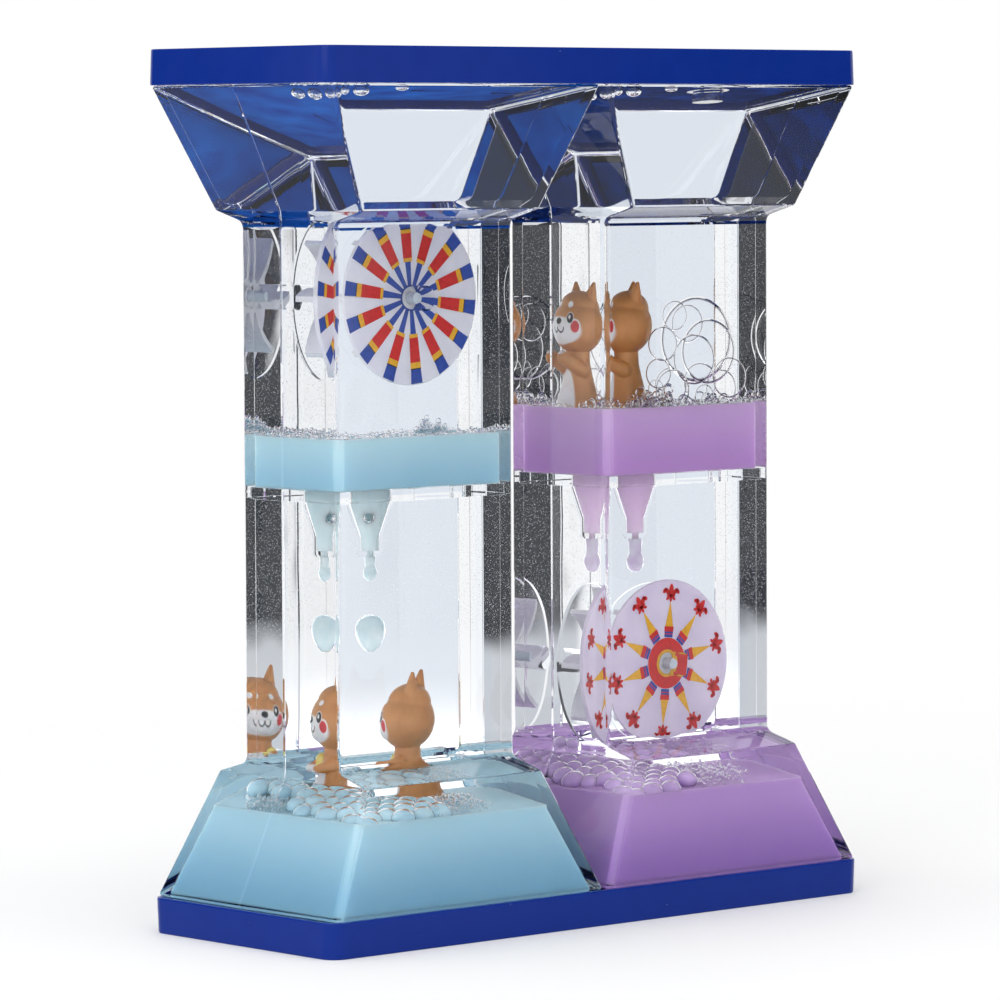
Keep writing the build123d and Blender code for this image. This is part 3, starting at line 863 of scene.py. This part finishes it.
def chick_bm(centre):
    bm = bmesh.new()
    ball(bm, centre, (1.85, 1.8, 1.8))
    ball(bm, centre + Vector((0, 0, 1.5)), (1.4, 1.4, 1.4))
    ball(bm, centre + Vector((-1.35, 0, 1.35)), (0.5, 0.45, 0.3))
    for hand in (-1, 1):
        ball(bm, centre + Vector((0.2, hand * 1.6, 0.0)), (0.9, 0.4, 0.7))
    return bm


def eased(value, edge, soft):
    """1 well below an edge, 0 well above it."""
    share = min(1.0, max(0.0, 0.5 - (value - edge) / soft))
    return share * share * (3 - 2 * share)


def blended(colour, other, share):
    return tuple(a + (b - a) * share for a, b in zip(colour, other))


def face_spot(across, up, centre, radii):
    """Distance from a spot on the face in units of its radii."""
    return math.hypot((across - centre[0]) / radii[0], (up - centre[1]) / radii[1])


def puppy_colour(at, side):
    """Paint of a puppy at a point of its skin."""
    colour = TAN
    way = (at - Vector((0, 0, HEAD_Z[side]))).normalized()
    across = math.degrees(math.atan2(abs(way.y), -way.x))
    up = math.degrees(math.asin(max(-1, min(1, way.z)))) - FACE_LIFT[side]
    if at.z > HEAD_Z[side] - 4.5:
        for centre, radii, paint in FACE_SPOTS:
            colour = blended(colour, paint, eased(face_spot(across, up, centre, radii), 1, 0.2))
        smile = abs(face_spot(across, up, (8, -12), (8, 10)) - 1)
        if up < -12:
            colour = blended(colour, BLACK, eased(smile, 0.16, 0.16))
    else:
        belly = face_spot(math.degrees(math.atan2(abs(at.y), -at.x)), at.z, (0, 6), (42, 5.5))
        colour = blended(colour, CREAM, eased(belly, 1, 0.15))
    return colour


def chick_colour(at):
    """Paint of a chick at a point of its skin."""
    colour = CHICK_YELLOW
    for centre, radius, paint in (
            ((-1.2, 0.62, 1.85), 0.34, BLACK),
            ((-1.02, 0.95, 1.3), 0.36, CHEEK),
            ((-1.7, 0.0, 1.35), 0.52, CHICK_ORANGE)):
        spot = Vector((at.x, abs(at.y), at.z)) - CHICK - Vector(centre)
        colour = blended(colour, paint, eased(spot.length, radius, 0.12))
    return colour


def paint_look():
    """Painted soft plastic that takes its colours from the mesh."""
    look = Look("figure_paint", TAN, Roughness=0.4, Subsurface_Weight=0.15, Subsurface_Scale=1.0 * MM)
    attribute = look.node("ShaderNodeAttribute")
    attribute.attribute_name = "paint"
    mottle = look.ramp(look.noise(2.5, 4.0), (0.3, (0.86, 0.84, 0.82, 1)), (0.6, WHITE))
    look.put("Base Color", look.mixed(1.0, attribute.outputs["Color"], mottle, "MULTIPLY"))
    return look.rough(0.8, 4.0, 0.3, 0.7, 0.32, 0.5).bump(0.5, 0.01, 4.0).material


PAINT = paint_look()


def figure(side, kind, bm, colour_at, smoothing):
    """Joins and smooths the balls of a figure, paints it and sets it on its float."""
    node = f"{side}_{kind}"
    base = middle(side + "_ballast")
    base.z = box_mm(side + "_puppy")[0].z
    obj = piece(node + "_figure", bm, [PAINT], [node], body=side + "_float")
    join = obj.modifiers.new("join", "REMESH")
    join.mode = "VOXEL"
    join.voxel_size = VOXEL * MM
    soften = obj.modifiers.new("soften", "SMOOTH")
    soften.factor = 0.5
    soften.iterations = smoothing
    baked(obj)
    mesh = obj.data
    paint = mesh.color_attributes.new(name="paint", type="FLOAT_COLOR", domain="POINT")
    for vert, dot in zip(mesh.vertices, paint.data):
        dot.color = colour_at(vert.co / MM)
    turn = Matrix.Rotation(math.radians(FLOAT_TURN[side]), 4, "Z")
    mesh.transform(Matrix.Translation(base * MM) @ turn)
    mesh.shade_smooth()
    return obj


def make_floats():
    """The figures on each float."""
    figures = {}
    for side in SIDES:
        puppy = figure(side, "puppy", puppy_bm(side), lambda at: puppy_colour(at, side), 4)
        figures[side] = [puppy]
    figures["left"].append(figure("left", "chick", chick_bm(CHICK), chick_colour, 2))
    return figures


# Liquids

NOZZLE_BORE = 3.85
SPOUT_BORE = 1.65
ORIFICE = 0.65
NOZZLE_TOP_Z = 69.1
NOZZLE_MEET = 0.1          # how far a nozzle's liquid reaches into the pool over it
SPOUT_TOP_Z = 63.4
SPOUT_TIP_Z = 60.2
TIP_WALL = 0.8
MENISCUS = 0.25
WELL_ROOM = 0.35           # between a float and the liquid round it
WELL_STEPS = 40
DROP_LENGTH = {"left": 3.9, "right": 5.6}
DROP_RADIUS = {"left": 1.3, "right": 1.75}
NOZZLE_BUBBLE = Vector((-0.95, -1.7, -2.5))   # from the left nozzle's axis at its top
NOZZLE_BUBBLE_RADIUS = 1.2
FALLING_DROP_Z = 48.0
FALLING_DROP = (2.75, 3.0)

POOL_EDGE = {"upper": (0.4, 0.8, 0.4), "lower": (1.0, 0.6, 0.6)}   # inset of the floor, rim, rounding
FLOAT_POOL = {"left": "lower", "right": "upper"}


def liquid_looks(tone, level, *pairs, drop):
    """Looks of one tank's liquid: pairs of screen colours of the pools, the nozzle and the beads. It is one
    liquid throughout, and its colours carry painted light and shade: darker in the lower pool, paler in the
    nozzle and the beads.
    """
    upper, lower, nozzle, bead = ([screen(*colour) for colour in pair] for pair in pairs)
    return {
        "upper": milky_liquid("liquid_" + tone, 71, level, *upper),
        "lower": milky_liquid(f"liquid_{tone}_lower_shaded", 6, 20, *lower),
        "nozzle": milky_liquid("nozzle_" + tone, 60, 74, *nozzle),
        "drop": drop_liquid("drop_" + tone, screen(*drop)),
        "bead": bead_core("bead_" + tone, *bead),
    }


LIQUID = {
    "left": liquid_looks(
        "blue", 79, ((164, 208, 230), (190, 226, 238)), ((138, 188, 216), (184, 222, 238)),
        ((226, 244, 250), (218, 240, 248)), ((184, 222, 240), (204, 234, 246)), drop=(206, 230, 236)),
    "right": liquid_looks(
        "purple", 82, ((196, 154, 216), (210, 176, 226)), ((164, 128, 200), (196, 162, 220)),
        ((248, 218, 250), (238, 206, 244)), ((204, 172, 228), (220, 192, 238)), drop=(216, 186, 226)),
}
BEAD_SKIN = hazy_clear("bead_skin", 0.93, (0.98, 0.99, 1.0, 1.0), 0.5, 0.8, 0.04)
AIR = hazy_clear("air", 1 / OIL_IOR, WHITE, 0.5, 0.8, 0.04)
FOAM = hazy_clear("foam", 0.85, WHITE, 0.5, 0.8, 0.04)
THIN_BUBBLE = film_bubble()


def reach_round(obj, centre, below):
    """How far an object reaches from an upright axis at each angle, under a height."""
    reach = [0.0] * WELL_STEPS
    for vert in obj.data.vertices:
        at = vert.co / MM
        if at.z < below:
            away = Vector((at.x - centre.x, at.y - centre.y))
            sector = int(WELL_STEPS * (math.atan2(away.y, away.x) / (2 * math.pi) % 1)) % WELL_STEPS
            for near in range(sector - 1, sector + 2):
                reach[near % WELL_STEPS] = max(reach[near % WELL_STEPS], away.length)
    return reach


def float_reach(side, below):
    """Outline of the room that a float needs under a height, at any place of its travel."""
    centre = middle(side + "_ballast")
    outlines = [reach_round(shape, centre, below + FLOAT_SINK[side]) for shape in FIGURES[side]]
    return centre, [max(radii) + WELL_ROOM for radii in zip(*outlines)]


def surface_z(side, part):
    """Height of a pool inside its curved rim."""
    return box_mm(f"{side}_{part}_pool")[1].z - MENISCUS


def pool_rings(side, profile, level):
    """Rings of a pool that ends in a curved rim against the walls, its rim at the level of the CAD pool."""
    surface = level - MENISCUS
    top = profile[-1]
    rim = [station(top[0] - inset, top[1] - inset, top[2], surface + lift * MENISCUS)
           for inset, lift in ((0, 1), (0.3, 0.48), (0.7, 0.16), (1.3, 0))]
    return [ring(at, TANK_X[side]) for at in profile + rim]


def cut_well(pool, side, low, level):
    """Makes room in a pool for its float."""
    centre, radii = float_reach(side, level + MENISCUS)
    rings = []
    for z in (low - 1, level + 1):
        rings.append([Vector((centre.x + radius * math.cos(2 * math.pi * (i + 0.5) / WELL_STEPS),
                              centre.y + radius * math.sin(2 * math.pi * (i + 0.5) / WELL_STEPS), z))
                      for i, radius in enumerate(radii)])
    bm = bmesh.new()
    loft(bm, rings)
    carved(pool, bm)


def pool(side, part):
    """The liquid over a tank's divider or in its foot, with a well in it for the float."""
    low, high = (corner.z for corner in box_mm(f"{side}_{part}_pool"))
    inset, rim, rounding = POOL_EDGE[part]
    if part == "upper":
        halves = [(COLUMN_X - WALL - FILM, COLUMN_Y - WALL - FILM)] * 2
    else:
        low = FLOOR_Z + FILM
        halves = [[half - (WALL + FILM) for half in foot_half(z)] for z in (low, high)]
    (x, y), (rim_x, rim_y) = halves
    profile = [station(x - inset, y - inset, CAVITY_CORNER, low), station(x, y, CAVITY_CORNER, low),
               station(rim_x, rim_y, CAVITY_CORNER, high - rim)]
    bm = bmesh.new()
    loft(bm, pool_rings(side, softened(profile, rounding), high))
    liquid = piece(f"{side}_{part}_liquid", bm, [LIQUID[side][part]],
                   [f"{side}_{part}_pool"], smooth=40)
    if part == FLOAT_POOL[side]:
        cut_well(liquid, side, low, high)


def pear(length, radius, neck):
    """Profile of a hanging drop from its lowest point up to its neck."""
    points = []
    for step in range(13):
        angle = math.radians(-90 + 135 * step / 12)
        points.append((radius * math.cos(angle) if step else 0, radius * (1 + math.sin(angle))))
    last_radius, last_height = points[-1]
    for step in range(1, 7):
        share = step / 6
        ease = share * share * (3 - 2 * share)
        points.append((last_radius + (neck - last_radius) * ease,
                       last_height + (length - last_height) * share))
    return points


def nozzle_liquid(side):
    """Liquid in a nozzle's bore, and the drop that hangs from it."""
    axis = middle(side + "_nozzle_drop")
    top = box_mm(side + "_upper_pool")[0].z + NOZZLE_MEET
    place = Matrix.Translation((axis.x, axis.y, 0))
    bm = bmesh.new()
    lathe(bm, [(0, SPOUT_TIP_Z), (ORIFICE, SPOUT_TIP_Z), (ORIFICE, SPOUT_TIP_Z + TIP_WALL),
               (SPOUT_BORE, SPOUT_TIP_Z + TIP_WALL + FILM), (SPOUT_BORE, SPOUT_TOP_Z),
               (NOZZLE_BORE, NOZZLE_TOP_Z), (NOZZLE_BORE, top), (0, top)], place)
    fill = piece(side + "_nozzle_liquid", bm, [LIQUID[side]["nozzle"]],
                 [side + "_nozzle_drop"], smooth=40)
    if side == "left":
        bubble = Vector((axis.x, axis.y, NOZZLE_TOP_Z)) + NOZZLE_BUBBLE
        bm = bmesh.new()
        ball(bm, bubble, (NOZZLE_BUBBLE_RADIUS + 0.03,) * 3)
        carved(fill, bm)
        bm = bmesh.new()
        ball(bm, bubble, (NOZZLE_BUBBLE_RADIUS,) * 3, 4)
        piece("left_nozzle_bubble", bm, [AIR], smooth=180)
    bm = bmesh.new()
    radius, length = DROP_RADIUS[side], DROP_LENGTH[side]
    profile = pear(length, radius, radius * 0.8)
    lathe(bm, profile + [(0, length)], Matrix.Translation((axis.x, axis.y, SPOUT_TIP_Z - length)))
    piece(side + "_hanging_drop", bm, [LIQUID[side]["drop"]], smooth=60)


def falling_drop():
    """A drop on its way down from the left nozzle, broader above."""
    axis = middle("left_nozzle_drop")
    wide, half = FALLING_DROP
    profile = [(0, -half)]
    for step in range(1, 24):
        angle = math.pi * step / 24
        profile.append((wide * math.sin(angle) * (1 - 0.22 * math.cos(angle)), -half * math.cos(angle)))
    bm = bmesh.new()
    lathe(bm, profile + [(0, half)], Matrix.Translation((axis.x, axis.y, FALLING_DROP_Z)))
    piece("left_falling_drop", bm, [LIQUID["left"]["drop"]], smooth=180)


# Beads, foam and bubbles

class Room:
    """The space for beads and bubbles in one tank, clear of its walls and of its float."""

    def __init__(self, side, level=None):
        self.side = side
        self.keep_out = None if level is None else float_reach(side, level)

    def clear(self, at, radius):
        """True where a ball is out of the float's way."""
        if self.keep_out is None:
            return True
        centre, radii = self.keep_out
        away = Vector((at.x - centre.x, at.y - centre.y))
        angle = math.atan2(away.y, away.x) / (2 * math.pi) % 1
        return away.length - radius > radii[int(WELL_STEPS * angle) % WELL_STEPS]

    def holds(self, at, radius):
        half_x, half_y = cavity_half(at.z)
        inside_x = abs(at.x - TANK_X[self.side]) + radius < half_x - FILM
        return inside_x and abs(at.y) + radius < half_y - FILM and self.clear(at, radius)


BEAD_STEP = (3.7, 3.0)
BEAD_RADIUS = (2.1, 2.5)
BEAD_FLAT = 0.72
BEAD_SHIFT = (0.35, 0.3, 0.2)   # most that chance moves a bead along X, Y and Z
BEAD_INSET = 2.6           # from the walls to the middles of the outermost beads
BEAD_SINK = 0.9            # from the liquid's surface down to the middles of the lowest beads
BEAD_SPREAD = 1.8          # between one layer and the next
BEAD_SKIN_GAP = 0.06
HEAP_ROOM = 5              # over the liquid: how much of the float the beads keep clear of
STRAY_BEADS = (            # on their way down in the right tank: place in the tank, height, radius
    (-13.5, -0.2, 26.4, 1.5),
    (-13.4, 2.6, 26.4, 1.55),
)


def heap(side, seed, rise_at):
    """Round milky beads in the lower liquid's surface, heaped as high as rise_at says."""
    level = box_mm(side + "_lower_pool")[1].z
    room = Room(side, level + HEAP_ROOM if side == "left" else None)
    chance = random.Random(seed)
    half_x, half_y = (half - BEAD_INSET for half in cavity_half(level))
    beads = []
    for row in range(int(2 * half_y / BEAD_STEP[1]) + 1):
        for column in range(int(2 * half_x / BEAD_STEP[0]) + 1):
            shift = [chance.uniform(-most, most) for most in BEAD_SHIFT]
            x = BEAD_STEP[0] * (column + row % 2 / 2) - half_x + shift[0]
            y = BEAD_STEP[1] * row - half_y + shift[1]
            rise = rise_at(x, y) + shift[2]
            radius = chance.uniform(*BEAD_RADIUS)
            while rise > -0.3:
                at = Vector((TANK_X[side] + x, y, level - BEAD_SINK + rise))
                if room.holds(at, radius):
                    beads.append((at, radius))
                rise -= BEAD_SPREAD
    if side == "right":
        beads += [(Vector((TANK_X[side] + x, y, z)), radius) for x, y, z, radius in STRAY_BEADS]
    layers = (("_beads", BEAD_SKIN_GAP, LIQUID[side]["bead"]), ("_bead_skins", 0.0, BEAD_SKIN))
    for name, thin, look in layers:
        bm = bmesh.new()
        for at, radius in beads:
            size = radius - thin
            ball(bm, at, (size, size, size * BEAD_FLAT))
        piece(side + name, bm, [look], smooth=180)


def foam(name, seed, place, count, sizes):
    """Fine clear bubbles; place gives a point for each draw."""
    chance = random.Random(seed)
    bm = bmesh.new()
    for _ in range(count):
        radius = sizes[0] + (sizes[1] - sizes[0]) * chance.random() ** 2
        ball(bm, place(chance) + Vector((0, 0, radius * chance.uniform(0.2, 0.9))), (radius,) * 3, 2)
    piece(name, bm, [FOAM], smooth=180)


def wall_foam(side, chance):
    """A point on an upper pool's surface, mostly along the walls and never in the float's way."""
    level = surface_z(side, "upper")
    half_x, half_y = COLUMN_X - WALL - FOAM_INSET, COLUMN_Y - WALL - FOAM_INSET
    while True:
        x, y = chance.uniform(-half_x, half_x), chance.uniform(-half_y, half_y)
        near = min(half_x - abs(x), half_y - abs(y))
        if chance.random() < (1.0 if near < FOAM_EDGE else FOAM_SPARSE):
            at = Vector((TANK_X[side] + x, y, level))
            if UPPER_ROOM[side].clear(at, 0.6):
                return at


def clump_foam(centre, spread, tall, chance):
    """A point in a low mound of foam."""
    angle, away = chance.uniform(0, 2 * math.pi), chance.random() ** 0.5
    lift = tall * (1 - away * away) * chance.random()
    return centre + Vector((spread * away * math.cos(angle), spread * away * math.sin(angle), lift))


def patch_foam(side, low, high, chance):
    """A point over the lower pool within a part of the tank, clear of the walls and the float."""
    level = surface_z(side, "lower")
    while True:
        x, y, lift = (chance.uniform(a, b) for a, b in zip(low, high))
        at = Vector((TANK_X[side] + x, y, level + lift))
        if LOWER_ROOM[side].holds(at, 0.5):
            return at


FOAM_SIZES = (0.14, 0.5)
FOAM_INSET = 0.4           # from the walls
FOAM_EDGE = 1.2            # from the walls: where foam is dense
FOAM_SPARSE = 0.25         # share of it further in
BUBBLE_PILE = (            # beside the right puppy: place in the tank, height over the liquid, radius
    (8.2, 0.5, 10.8, 7.1),
    (9.4, -2.4, 8.8, 5.4),
    (12.8, -5.0, 4.4, 3.4),
    (3.4, 0.6, 14.8, 2.5),
    (7.0, 2.0, 13.4, 3.2),
    (-3.2, -6.6, 10.4, 2.9),
    (5.6, -3.4, 7.6, 4.2),
    (-4.4, -7.0, 5.6, 2.5),
    (-5.2, -7.4, 3.2, 1.5),
    (-0.6, -5.8, 2.8, 3.4),
    (6.2, -6.6, 1.6, 1.9),
    (12.8, -1.5, 2.6, 3.1),
    (11.6, 5.2, 3.4, 3.4),
    (5.0, 5.4, 3.0, 3.2),
)
BUBBLE_SKIN = 0.06
SURFACE_BUBBLES = 120      # small bubbles tried over the whole pool
BUBBLE_FOOT = 46           # small bubbles tried in front of the puppy
CEILING_BUBBLES = (        # air under the ceiling: place in the tank, half sizes along X, Y and Z
    (-24.2, -11.6, 1.4, 1.5, 0.9),
    (-24.0, -15.4, 1.5, 1.5, 1.0),
    (-23.2, -18.2, 0.8, 0.8, 0.8),
    (-20.0, -18.4, 1.6, 1.1, 0.9),
    (-12.0, -18.8, 1.4, 0.7, 0.5),
)


def pile_bubbles():
    """Large thin bubbles heaped on the right upper pool, with small ones at their foot."""
    room = UPPER_ROOM["right"]
    level = surface_z("right", "upper")
    centre_x = TANK_X["right"]
    bm = bmesh.new()
    for x, y, lift, radius in BUBBLE_PILE:
        at = Vector((centre_x + x, y, level + lift))
        ball(bm, at, (radius,) * 3, 4)
        ball(bm, at, (radius - BUBBLE_SKIN,) * 3, 4, inside_out=True)
    piece("right_thin_bubbles", bm, [THIN_BUBBLE], smooth=180)

    chance = random.Random(31)
    spots = [(chance.uniform(-15, 15), chance.uniform(-9, 9), 0.6) for _ in range(SURFACE_BUBBLES)]
    spots += [(chance.uniform(-10, 0), chance.uniform(-9, -3), chance.uniform(0.6, 3.0))
              for _ in range(BUBBLE_FOOT)]
    bm = bmesh.new()
    for x, y, lift in spots:
        radius = 0.35 + 0.9 * chance.random() ** 2
        at = Vector((centre_x + x, y, level + radius * lift))
        if room.holds(at, radius):
            ball(bm, at, (radius,) * 3)
            ball(bm, at, (radius - BUBBLE_SKIN,) * 3, inside_out=True)
    piece("right_small_bubbles", bm, [FOAM], smooth=180)


def ceiling_bubbles(side):
    bm = bmesh.new()
    ceiling = HEIGHT - FLOOR_Z
    for x, y, *halves in CEILING_BUBBLES:
        ball(bm, Vector((TANK_X[side] + x, y, ceiling - halves[2] - FILM)), halves)
    piece(side + "_ceiling_bubbles", bm, [AIR], smooth=180)


def make_foam():
    for side in SIDES:
        foam(side + "_upper_foam", 11, lambda chance: wall_foam(side, chance), 420, FOAM_SIZES)
        ceiling_bubbles(side)
    nozzle = middle("left_nozzle_drop")
    up_nozzle = Vector((2 * TANK_X["left"] - nozzle.x, nozzle.y, box_mm("left_upper_pool")[1].z))
    foam("left_nozzle_foam", 12, lambda chance: clump_foam(up_nozzle, 3.4, 2.2, chance), 90, (0.2, 0.6))
    for name, seed, side, low, high, count in (
            ("left_front_foam", 13, "left", (-4, -18.5, 0), (8, -4, 1.6), 420),
            ("left_side_foam", 14, "left", (-21, 1, 0), (-15, 10, 1.6), 180),
            ("right_front_foam", 15, "right", (-3, -18.5, 0), (8, 8, 2.2), 520)):
        foam(name, seed, lambda chance: patch_foam(side, low, high, chance), count, (0.15, 0.45))
    pile_bubbles()
    falling_drop()


def left_rise(x, y):
    """Rise of the left tank's bead heap from its front left corner; below 0 where it has none."""
    return -1 if x > -1.5 or (x < -12 and y > 1) else 0.06 * (x + y + 34)


def right_rise(x, y):
    """Rise of the right tank's bead heap from its front left corner; below 0 where it has none."""
    return -1 if x > -3 else 0.075 * (x + y + 34)


# Stage

FLOOR_RADIUS = 0.73        # metres
FLOOR_FADE = (0.16, 0.42)  # metres: where the lit floor fades into plain white
SEEN_THROUGH = (0.80, 0.84, 0.9, 1.0)   # the white surroundings seen straight through the tanks
FLAG_GREY = (0.035, 0.037, 0.042, 1.0)
FLAG_AXIS = Vector((0.745, 0.675, 0.0))   # the flags lie between two shares of this direction
FLAG_START = -0.03
FLAG_END = 0.5
FLAG_EDGE = 0.012
FLAG_FOOT = (0.60, 0.62, 0.65, 1.0)
FLAG_FADE = (0.455, 0.565)   # metres: where the floor's grey turns into the flags' dark


def surroundings(nodes, way, axis, dark):
    """White seen by one ray: tinted straight through the tanks, dark where a reflection meets a flag."""
    path = nodes.node("ShaderNodeLightPath").outputs
    through = nodes.math("GREATER_THAN", path["Transmission Depth"], 0.5)
    reflected = nodes.math("GREATER_THAN", path["Glossy Depth"], 0.5)
    along = nodes.vector("DOT_PRODUCT", way, axis)
    past_side = nodes.span(along, FLAG_START - FLAG_EDGE, FLAG_START + FLAG_EDGE, 0, 1)
    before_back = nodes.span(along, FLAG_END - FLAG_EDGE, FLAG_END + FLAG_EDGE, 1, 0)
    flagged = nodes.math("MULTIPLY", nodes.math("MULTIPLY", past_side, before_back), reflected)
    straight_through = nodes.math("GREATER_THAN", through, reflected)
    colour = nodes.mixed(flagged, nodes.mixed(straight_through, WHITE, SEEN_THROUGH), dark)
    return colour, flagged, through, path


def make_floor():
    """Floor that is lit near the object and plain white further out."""
    bm = bmesh.new()
    bmesh.ops.create_circle(bm, cap_ends=True, segments=96, radius=FLOOR_RADIUS)
    mesh = bpy.data.meshes.new("floor")
    bm.to_mesh(mesh)
    bm.free()
    look = Look("floor_white", (0.93, 0.93, 0.93, 1.0), Roughness=0.7).bump(1.5, 0.02)
    reach = look.vector("LENGTH", look.place)
    dark = look.ramp(look.span(reach, *FLAG_FADE, 0, 1), (0.0, FLAG_FOOT), (1.0, FLAG_GREY))
    incoming = look.node("ShaderNodeNewGeometry").outputs["Incoming"]
    colour, flagged, _, _ = surroundings(look, incoming, -FLAG_AXIS, dark)
    glow = look.node("ShaderNodeEmission", Strength=1.0)
    look.feed([glow.inputs["Color"]], colour)
    fade = look.math("MAXIMUM", look.span(reach, *FLOOR_FADE, 0, 1), flagged)
    shown = look.faded(fade, look.shader.outputs[0], glow.outputs[0])
    look.feed([look.tree.nodes["Material Output"].inputs["Surface"]], shown)
    mesh.materials.append(look.material)
    floor = bpy.data.objects.new("floor", mesh)
    bpy.context.scene.collection.objects.link(floor)


CAMERA_PLACE = Vector((-604.1, -672.23, 124.45))
CAMERA_YAW = 41.817
CAMERA_PITCH = 3.6235
CAMERA_ROLL = -0.2797
SENSOR = 36.0
LENS = 200.97


def make_camera():
    """The photograph's camera."""
    yaw, pitch, roll = (math.radians(a) for a in (CAMERA_YAW, CAMERA_PITCH, CAMERA_ROLL))
    forward = Vector((math.sin(yaw) * math.cos(pitch), math.cos(yaw) * math.cos(pitch), -math.sin(pitch)))
    level = Vector((math.cos(yaw), -math.sin(yaw), 0))
    upright = level.cross(forward)
    right = math.cos(roll) * level + math.sin(roll) * upright
    up = math.cos(roll) * upright - math.sin(roll) * level
    data = bpy.data.cameras.new("camera")
    data.sensor_width = SENSOR
    data.lens = LENS
    data.clip_start = 0.01
    camera = bpy.data.objects.new("camera", data)
    turn = Matrix((right, up, -forward)).transposed().to_4x4()
    camera.matrix_world = Matrix.Translation(CAMERA_PLACE * MM) @ turn
    bpy.context.scene.collection.objects.link(camera)
    bpy.context.scene.camera = camera


SKY_AXIS = (-0.74, 0.08, 0.668)
SKY = (0.52, 1.22)         # strength of the light from the lower right and from the upper left
WALL_GAIN = 2.0            # makes up for what the clear walls take


def make_world():
    """White surroundings that light the object, with dark flags at the sides that only reflections show."""
    world = bpy.data.worlds.new("studio")
    bpy.context.scene.world = world
    world.use_nodes = True
    nodes = Nodes(world.node_tree)
    nodes.tree.nodes.clear()
    way = nodes.node("ShaderNodeTexCoord").outputs["Generated"]
    colour, _, through, path = surroundings(nodes, way, FLAG_AXIS, FLAG_GREY)
    seen = nodes.node("ShaderNodeBackground")
    nodes.feed([seen.inputs["Color"]], colour)
    light = nodes.node("ShaderNodeBackground")
    sky = nodes.span(nodes.vector("DOT_PRODUCT", way, SKY_AXIS), -1, 1, *SKY)
    strength = nodes.math("MULTIPLY", sky, nodes.span(through, 0, 1, 1, WALL_GAIN))
    nodes.feed([light.inputs["Strength"]], strength)
    straight = nodes.math("MAXIMUM", nodes.math("MAXIMUM", path["Is Camera Ray"], path["Is Glossy Ray"]),
                          path["Is Transmission Ray"])
    direct = nodes.math("MULTIPLY", straight, nodes.math("LESS_THAN", path["Diffuse Depth"], 0.5))
    shown = nodes.faded(direct, light.outputs[0], seen.outputs[0])
    nodes.feed(nodes.node("ShaderNodeOutputWorld").inputs, shown)


def make_lamp(name, place, size, watts):
    """Soft lamp that faces the object and lights only what is outside the tanks."""
    data = bpy.data.lights.new(name, "AREA")
    data.energy = watts
    data.size = size
    lamp = bpy.data.objects.new(name, data)
    lamp.location = place
    lamp.rotation_euler = (-lamp.location).to_track_quat("-Z", "Y").to_euler()
    lamp.visible_camera = False
    lamp.visible_transmission = False
    bpy.context.scene.collection.objects.link(lamp)


def set_paths():
    """Enough bounces for light to pass through both walls of both tanks, and plain colours."""
    cycles = bpy.context.scene.cycles
    cycles.max_bounces = 48
    cycles.glossy_bounces = 24
    cycles.transmission_bounces = 40
    cycles.diffuse_bounces = 3
    bpy.context.scene.view_settings.view_transform = "Standard"


make_caps()
for side in SIDES:
    half_shell(side, True)
    half_shell(side, False)
    dress_fittings(side)
    wheel_disc(side, side + "_wheel_disc", side + "_disc", DISC[side])
    wheel_disc(side, side + "_wheel_back", side + "_clear_back", CLEAR_FITTING, BACK_GAP)
print_spokes()
print_sun()
FIGURES = make_floats()
UPPER_ROOM = {"left": Room("left"), "right": Room("right", HEIGHT)}
LOWER_ROOM = {"left": Room("left", HEIGHT), "right": Room("right")}
for side in SIDES:
    pool(side, "upper")
    pool(side, "lower")
    nozzle_liquid(side)
heap("left", 3, left_rise)
heap("right", 4, right_rise)
make_foam()
make_floor()
make_camera()
make_world()
make_lamp("overhead", (-0.1, -0.2, 1.1), 0.9, 4)
make_lamp("front_left", (-1.1, -0.5, 0.6), 0.8, 3)
set_paths()
